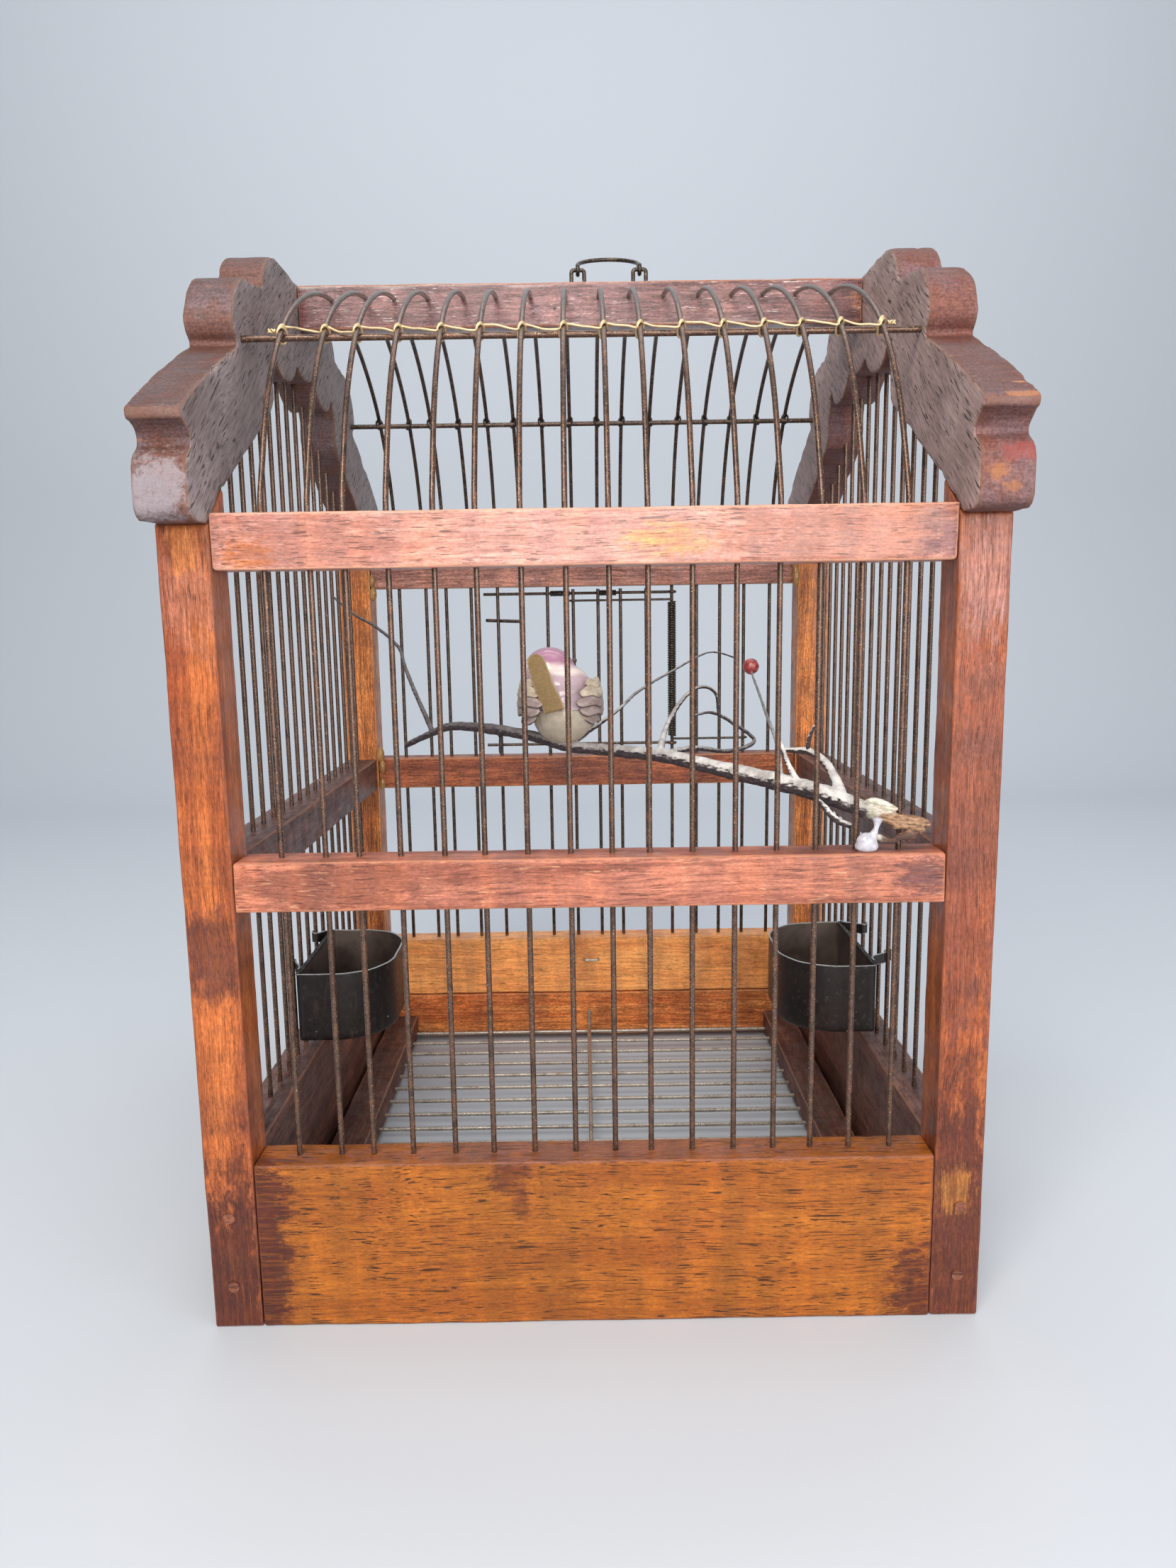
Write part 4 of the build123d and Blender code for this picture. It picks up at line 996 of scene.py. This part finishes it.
for side, seed in (("left", 71), ("right", 72)):
    node = "feeder_cup_" + side
    low, high = limits(node)
    back = low[0] if side == "left" else high[0]
    way = 1.0 if side == "left" else -1.0
    # Painted shade: the left cup's sheet is darkened to half to stand in for the shadow on it; the right cup
    # takes 0.8.
    cup_metal = sheet_metal("cup_sheet_" + side, seed, 0.5 if side == "left" else 0.8)
    points, faces, edge = cup_mesh(node, seed)
    body = "cup_" + side
    cup = add_piece(side + "_cup", points, faces, cup_metal, body, [node], "cup_sheet", edge)
    inside = np.zeros(len(points), np.float32)
    inside[len(cup_outline(0.0)) * len(OUTER_LEVELS):] = 1.0
    cup.data.attributes.new("inside", "FLOAT", "POINT").data.foreach_set("value", inside)
    hem = tube([(back + way * 0.6, y, high[2] - 0.9 + 0.35 * rough_at((0, y, 0), 0.3, seed))
                for y in np.linspace(low[1] + 1.5, high[1] - 1.5, 26)], 1.0, 9, seed, wobble=0.4, pits=0.22)
    add_piece(side + "_cup_hem", *hem, cup_metal, body, slot="cup_sheet", edge=np.full(len(hem[0]), 0.62))
    for k, (corner_y, bar_y) in enumerate(HANGER_Y):
        points, faces, edge = strap(back, way, corner_y, -SIDE_WIRE_X * way, bar_y, high[2] - 1.4, seed + k)
        add_piece(side + "_cup_strap_" + "ab"[k], points, faces, cup_metal, body, ["cup_clips_" + side],
                  "clip_zinc", edge)

# ---------------------------------------------------------------- perch

BRANCH = [
    (120, -147.4, 196.6, 1.6), (115.5, -147, 197.6, 2.3), (110.5, -144.8, 199.4, 3.1),
     (102.3, -137, 201.5, 3.9), (90.7, -125, 205, 4.2), (76, -113, 208, 3.9), (61, -100, 210, 3.7),
     (45, -88, 212.5, 3.5), (31, -76, 214.5, 3.5), (13, -64, 215, 3.1), (-9, -50, 216, 3),
     (-22, -42, 219, 2.9), (-43, -28, 221.5, 2.8), (-65, -12, 221.7, 2.3), (-77, -4, 217.5, 1.9),
     (-92, 6, 210.5, 1.4)]
TWIGS = [
    [(-76.5, -4, 218, 1.5), (-84.6, 5, 234.5, 1.2), (-91.8, 14, 250, 1.1), (-96, 20, 260, 1),
     (-109, 30, 270, 0.9), (-121.5, 38, 276.5, 0.8), (-134, 46, 286, 0.6)],
    [(97.5, -131, 204, 2.4), (96, -118, 212, 2.1), (93.5, -112, 216.5, 1.9), (88.9, -106, 219.3, 1.6),
     (82.9, -100, 219, 1.3), (78.9, -98, 219.6, 0.9)],
    [(88.9, -106, 219.3, 1.2), (89.2, -108, 225, 1), (90.7, -110, 230, 0.7)],
    [(83.5, -119, 207, 1.8), (79.9, -116, 213.5, 1.4), (77.2, -112, 221.5, 1.1), (76.1, -110, 226, 0.7)],
    [(31, -76, 215, 1.9), (35.3, -60, 225.2, 1.3), (44.1, -50, 237, 1.1), (53, -42, 241.6, 1),
     (59.8, -40, 238.1, 0.9), (61.2, -40, 227.6, 0.8)],
    [(31, -76, 215, 1.7), (49, -50, 214.2, 1.4), (67.9, -30, 210, 1.2), (81.2, -20, 213.4, 1.1),
     (70.9, -20, 222.1, 1), (60, -25, 227.9, 0.9), (48.3, -40, 227.8, 0.7)],
    [(77, -113, 208, 1.4), (84.3, -60, 218, 1), (87.8, 0, 230.5, 0.8), (89.8, 40, 240.5, 0.7),
     (90, 48, 243, 0.6)],
    [(-9, -50, 216, 1.4), (12, -48, 230, 0.9), (24.3, -30, 239, 0.8), (42.7, -10, 247.6, 0.7),
     (62.3, 10, 255.2, 0.6), (79.6, 30, 251, 0.5)],
    [(-41, -29, 221, 1.3), (-41.5, -27, 210, 0.9)]]
SPLINTERS = [
    [(103, -139.5, 203.6, 1.2), (106.5, -141, 204.4, 1.9), (110.5, -142.8, 203.6, 1.7),
     (114.5, -143.8, 201.9, 0.8)],
    [(112, -146, 199.2, 1.9), (118, -147, 199, 1.9), (123, -147.4, 198, 1.7),
     (125.6, -147.6, 196.6, 0.8)],
    [(112, -147.4, 196.6, 1.6), (118, -148, 196.4, 1.9), (122.6, -148.4, 194.6, 1.5),
     (121.4, -148.4, 193.2, 0.6)],
    [(104.5, -143.5, 192.6, 0.8), (108, -146, 191.4, 1.5), (111.5, -147.4, 190.6, 1.2),
     (115, -148, 192.4, 1.7), (119.5, -148.4, 192.6, 1.3), (117, -148, 190.4, 0.6)],
    [(99, -137, 194.6, 1.3), (94, -137.5, 196.6, 1.5), (90.6, -137.5, 199.6, 1.4),
     (87.6, -137, 203.4, 1.1), (85, -137, 205.6, 0.6)]]


def bark_material():
    p = Paint("bark", 81)
    ridge = p.noise(p.stretch(p.where, (0.28, 0.6, 1.2)), 1.2, 5.0, 0.72)
    lump = p.noise(p.where, 0.16, 4.0, 0.6)
    colour = p.ramp(ridge, 0.36, 0.64, (0.016, 0.01, 0.013), (0.085, 0.06, 0.064))
    # Pale on upward faces: chalky bleached bark on the right half, and a painted top highlight on the left
    # half, where the share drops to 0.42.
    top = p.add(p.facing(2), p.mul(p.less(ridge, 0.5), 1.6))
    pale_x = p.step(p.part(p.place, 0), -60.0, 45.0, 0.42, 1.0)
    pale_y = p.step(p.part(p.place, 1), -25.0, -62.0, 0.35, 1.0)
    chalk_and_top_highlight = p.mul(p.step(top, 0.0, 0.4), p.mul(pale_x, pale_y))
    colour = p.mix(chalk_and_top_highlight, colour, p.ramp(lump, 0.35, 0.65, (0.44, 0.4, 0.38), (0.78, 0.75, 0.71)))
    span = p.add(p.part(p.place, 0), p.mul(lump, 12.0))
    split = p.noise(p.stretch(p.where, (0.22, 0.5, 1.2)), 1.1, 5.0, 0.75)
    cream = p.ramp(split, 0.4, 0.62, (0.4, 0.35, 0.25), (0.74, 0.72, 0.62))
    raw = p.ramp(split, 0.36, 0.62, (0.1, 0.045, 0.025), (0.46, 0.27, 0.15))
    low_wood = p.step(p.add(p.part(p.place, 2), p.mul(ridge, 4.0)), 197.2, 195.2)
    raw = p.mix(p.mul(low_wood, 0.85), raw, (0.05, 0.018, 0.018))
    colour = p.mix(p.step(span, 107.0, 110.5, 0.0, 0.9), colour, cream)
    under = p.step(p.less(p.part(p.place, 2), p.mul(lump, 5.0)), 199.8, 198.4)
    colour = p.mix(p.mul(p.step(span, 112.0, 116.0), under), colour, raw)
    height = p.add(ridge, p.mul(lump, 0.5))
    return p.finish(colour, p.step(ridge, 0.3, 0.7, 0.55, 0.8), height, 0.8, 0.0006)


def limb(knots, seed):
    path = smooth_path(knots, 7)
    lumps = np.array([0.9 + 0.1 * rough_at(q[:3], 0.13, seed) for q in path])
    return tube(path[:, :3], path[:, 3] * lumps, 14, seed, wobble=0.5, pits=0.06)


bark = bark_material()
shapes = [limb(BRANCH, 82)] + [limb(k, 83 + i) for i, k in enumerate(TWIGS)]
shapes += [limb(k, 93 + i) for i, k in enumerate(SPLINTERS)]
points, normals, faces = remeshed(*gather(shapes), voxel=0.42, smooth=1)
skin = np.array([0.2 * rough_at((q[0] * 0.25, q[1] * 0.5, q[2] * 1.1), 0.9, 7) for q in points])
add_piece("perch", points + normals * skin[:, None], faces, bark, "frame", ["perch_branch"], "bark")


# ---------------------------------------------------------------- glue and small bits

def egg(centre, radii, tilt=(0, 0, 0), rings=16, sides=24):
    """Closed ellipsoid as points and faces."""
    spin = (Matrix.Rotation(math.radians(tilt[2]), 3, "Z") @ Matrix.Rotation(math.radians(tilt[1]), 3, "Y")
            @ Matrix.Rotation(math.radians(tilt[0]), 3, "X"))
    spin = np.array(spin)
    points = [np.array((0, 0, 1.0))]
    for i in range(1, rings):
        a = math.pi * i / rings
        points += [np.array((math.sin(a) * math.cos(b), math.sin(a) * math.sin(b), math.cos(a)))
                   for b in (2 * math.pi * k / sides for k in range(sides))]
    points.append(np.array((0, 0, -1.0)))
    faces = [(0, 1 + k, 1 + (k + 1) % sides) for k in range(sides)]
    for i in range(rings - 2):
        for k in range(sides):
            a, b = 1 + i * sides + k, 1 + i * sides + (k + 1) % sides
            faces.append((a, a + sides, b + sides, b))
    last = len(points) - 1
    base = 1 + (rings - 2) * sides
    faces += [(last, base + (k + 1) % sides, base + k) for k in range(sides)]
    out = [spin @ (q * np.array(radii)) + np.array(centre) for q in points]
    return np.array(out), faces


def glue_material(name, tint, clear, seed):
    p = Paint(name, seed)
    cloud = p.noise(p.where, 0.35, 4.0, 0.6)
    colour = p.ramp(cloud, 0.35, 0.65, tint, tuple(min(1.0, c * 1.25 + 0.04) for c in tint))
    return p.finish(colour, p.step(cloud, 0.3, 0.7, 0.12, 0.3), cloud, 0.4, 0.0006,
                    Transmission_Weight=clear, IOR=1.46, Coat_Weight=0.5, Coat_Roughness=0.08)


milky = glue_material("glue_milky", (0.6, 0.58, 0.64), 0.35, 101)
amber = glue_material("glue_amber", (0.55, 0.3, 0.08), 0.55, 102)
neck = smooth_path([(104.2, -146.0, 190.0, 2.4), (105.4, -146.2, 193.6, 1.5), (106.2, -146.4, 196.0, 1.0),
                    (106.6, -146.2, 199.0, 2.2)], 6)
blob = [egg((102.4, -146.3, 189.9), (3.7, 3.2, 4.0)), egg((104.2, -146.2, 188.9), (2.9, 3.0, 2.6)),
        egg((100.6, -146.0, 188.6), (2.3, 2.6, 1.9)), tube(neck[:, :3], neck[:, 3], 12)]
points, normals, faces = remeshed(*gather(blob), voxel=0.45, smooth=5)
points[:, 2] = np.maximum(points[:, 2], MID_RAIL_TOP + 0.02)
add_piece("glue_drop", points, faces, milky, "frame", ["glue_blob"], "glue")

for name, drops in (
        ("amber_glue_left", (((-129.6, 132.6, 190.0), (2.6, 2.4, 5.0)),
                             ((-128.8, 133.0, 182.0), (2.2, 2.0, 4.5)),
                             ((-129.2, 132.6, 171.5), (2.3, 2.0, 3.8)))),
        ("amber_glue_right", (((129.8, 132.4, 296.0), (2.2, 2.2, 6.5)),
                              ((129.2, 132.8, 304.5), (2.4, 2.2, 4.0)))),
        ("amber_glue_top", (((-129.4, 132.6, 289.0), (2.2, 2.2, 4.5)),
                            ((-129.8, 132.6, 297.0), (1.8, 1.9, 4.0))))):
    points, normals, faces = remeshed(*gather([egg(c, r) for c, r in drops]), voxel=0.5, smooth=5)
    add_piece(name, points, faces, amber, "frame", slot="glue")

# ---------------------------------------------------------------- ornament bird

def bird_skin():
    """Glossy pink back with a white band that is a painted gloss highlight, over a beige belly."""
    p = Paint("bird_body", 111)
    high = p.add(p.part(p.place, 2), p.mul(p.noise(p.where, 0.1, 2.0, 0.5), 5.0))
    lean = p.mul(p.part(p.place, 0), 0.16)
    level = p.add(high, lean)
    colour = p.ramp(level, 240.0, 249.0, (0.46, 0.355, 0.39), (0.58, 0.43, 0.47))
    # Painted highlight: the white band across the back stands in for the gloss highlight.
    colour = p.ramp(level, 248.5, 250.5, colour, (0.82, 0.68, 0.62))
    colour = p.ramp(level, 251.0, 255.0, colour, (0.42, 0.2, 0.29))
    belly = p.step(p.part(p.place, 2), 233.2, 232.2)
    beige = p.ramp(p.noise(p.where, 0.25, 4.0, 0.6), 0.35, 0.65, (0.42, 0.355, 0.275), (0.5, 0.43, 0.34))
    colour = p.mix(belly, colour, beige)
    seam = p.step(p.math("ABSOLUTE", p.less(p.part(p.place, 2), 232.8)), 0.45, 0.2)
    colour = p.mix(p.mul(seam, 0.8), colour, (0.2, 0.13, 0.09))
    rough = p.step(belly, 0.0, 1.0, 0.2, 0.55)
    grain = p.noise(p.where, 0.6, 3.0, 0.6)
    return p.finish(colour, rough, grain, 0.25, 0.0003, Coat_Weight=0.4, Coat_Roughness=0.1)


def feather_skin(name, pale, deep, seed):
    p = Paint(name, seed)
    tone = p.noise(p.stretch(p.where, (0.5, 0.5, 1.0)), 0.3, 4.0, 0.6)
    colour = p.ramp(tone, 0.36, 0.64, deep, pale)
    edge = p.attribute("edge")
    colour = p.ramp(edge, 0.35, 0.75, colour, (0.045, 0.025, 0.016))
    return p.finish(colour, 0.42, tone, 0.4, 0.0003, Coat_Weight=0.2)


bird_parts = [egg((-10.2, -44.5, 230.5), (14.8, 15.0, 14.8)), egg((-12.0, -41.0, 238.5), (15.6, 16.0, 15.0)),
              egg((-17.0, -37.0, 248.2), (12.4, 12.4, 12.2))]
points, normals, faces = remeshed(*gather(bird_parts), voxel=0.6, smooth=6)
add_piece("bird", points, faces, bird_skin(), "frame", ["bird_body"], "bird_body")

beak_dark = feather_skin("beak", (0.1, 0.06, 0.04), (0.05, 0.03, 0.02), 112)
beak_path = smooth_path([(BIRD_X, y, z, r) for y, z, r in (
    (-25.5, 250.4, 2.2), (-22.0, 249.9, 1.5), (-18.8, 248.8, 0.35))], 5)
beak = tube(beak_path[:, :3], beak_path[:, 3], 12)
eyes = [egg((BIRD_X + side * 6.6, -27.6, 253.6), (1.2, 1.1, 1.2), rings=8, sides=12) for side in (-1, 1)]
points, faces = gather([beak] + eyes)
add_piece("bird_beak_and_eyes", points, faces, beak_dark, "frame", slot="bird_body",
          edge=np.zeros(len(points)))


def feather(side, level, start, end, reach, height, seed):
    """One rounded plume that lies round the flank of the body, thick at its wavy lower rim."""
    points, edge = [], []
    steps, around = 30, 14
    for i in range(steps + 1):
        t = i / steps
        a = math.radians(start + (end - start) * t)
        r = reach + 0.8 * math.sin(math.pi * t)
        swell = max(0.0, 1 - (2 * t - 1) ** 4) ** 0.5
        wave = 0.55 * math.sin(t * 13 + seed) + 0.35 * rough_at((t * 9, level, 0), 0.9, seed)
        droop = 2.4 * (t - 0.35) ** 2 - wave
        centre = np.array((BIRD_X + side * r * math.cos(a), BIRD_Y + r * math.sin(a), level - droop))
        ray = np.array((side * math.cos(a), math.sin(a), 0))
        for k in range(around):
            b = 2 * math.pi * k / around
            up = math.sin(b)
            spot = centre + ray * 1.5 * math.cos(b) * swell + np.array((0, 0, height * up * swell))
            points.append(spot + ray * 1.1 * max(0.0, -up) * swell)
            edge.append(max(0.0, -up - 0.55) * 2.0 + (0.6 if i in (0, steps) else 0.0))
    faces = ring_faces(steps + 1, around, side < 0)
    for row in (0, steps):
        cap = [row * around + k for k in range(around)]
        faces.append(cap if (row == 0) != (side > 0) else cap[::-1])
    return points, faces, edge


cream = feather_skin("plume_cream", (0.66, 0.56, 0.42), (0.42, 0.33, 0.25), 113)
taupe = feather_skin("plume_taupe", (0.44, 0.345, 0.32), (0.29, 0.21, 0.19), 114)
for side, node in ((1, "bird_wing_right"), (-1, "bird_wing_left")):
    label = "right" if side > 0 else "left"
    for k, (level, start, end, reach, height, skin_mat) in enumerate((
            (229.0, -48, 20, 15.6, 2.6, taupe), (232.8, -60, 18, 17.2, 2.7, taupe),
            (236.8, -66, 14, 17.6, 2.7, taupe), (240.8, -60, 10, 17.4, 2.5, cream),
            (244.6, -46, 4, 16.4, 2.1, cream), (237.0, -14, 60, 17.6, 7.0, cream))):
        points, faces, edge = feather(side, level, start, end, reach, height, 115 + k)
        add_piece(label + "_plume_" + "abcdef"[k], points, faces, skin_mat, "frame", [node],
                  "bird_wing", edge)

card = Paint("tail_card", 121)
rib = card.noise(card.stretch(card.where, (0.5, 1.0, 1.0)), 1.3, 4.0, 0.7)
card_colour = card.ramp(rib, 0.38, 0.62, (0.25, 0.16, 0.065), (0.31, 0.205, 0.09))
card_colour = card.ramp(card.attribute("edge"), 0.3, 0.9, card_colour, (0.5, 0.36, 0.19))
card_mat = card.finish(card_colour, 0.75, rib, 0.25, 0.0003)
TAIL_LEFT = ((-18.7, 231.6), (-20.9, 238.0), (-23.2, 244.0), (-24.8, 250.0), (-25.6, 254.0),
             (-24.9, 256.8), (-22.8, 258.2))
TAIL_RIGHT = ((-9.8, 233.6), (-11.9, 239.5), (-14.2, 244.0), (-16.0, 249.5), (-17.4, 253.4),
              (-18.6, 256.4), (-20.6, 258.0))
left_edge, right_edge = (smooth_path([(x, 0, z) for x, z in side], 6) for side in (TAIL_LEFT, TAIL_RIGHT))
points, edge = [], []
cols = 9
for layer in (0.0, 1.5):
    for i in range(len(left_edge)):
        tooth = 0.45 * (i % 3 == 0) * (1 if 4 < i < 30 else 0)
        for c in range(cols):
            t = c / (cols - 1)
            spot = left_edge[i] * (1 - t) + right_edge[i] * t
            bow = 0.7 * math.sin(math.pi * t) + 0.25 * rough_at((i, c, layer), 0.2, 3)
            y = -59.8 - 3.6 * (i / len(left_edge)) - bow + layer
            points.append((spot[0] - (tooth if c == 0 else 0), y, spot[2]))
            edge.append(1.0 if c in (0, cols - 1) else 0.0)
add_piece("bird_tail_card", points, sheet_faces(len(left_edge), cols), card_mat, "frame",
          ["bird_tail"], "tail_card", edge)

red = Paint("berry_red", 131)
red_tone = red.noise(red.where, 0.5, 4.0, 0.6)
red_colour = red.ramp(red_tone, 0.36, 0.64, (0.17, 0.016, 0.016), (0.5, 0.085, 0.07))
red_mat = red.finish(red_colour, 0.28, red_tone, 0.4, 0.0004, Coat_Weight=0.4)
points, faces = egg(BERRY, (4.5, 4.5, 4.4), rings=20, sides=30)
points = np.array([q - (q - BERRY) * 0.14 * max(0.0, rough_at(q, 0.35, 8) + 0.3) for q in points])
add_piece("berry_fruit", points, faces, red_mat, "frame", ["berry"], "berry_red")
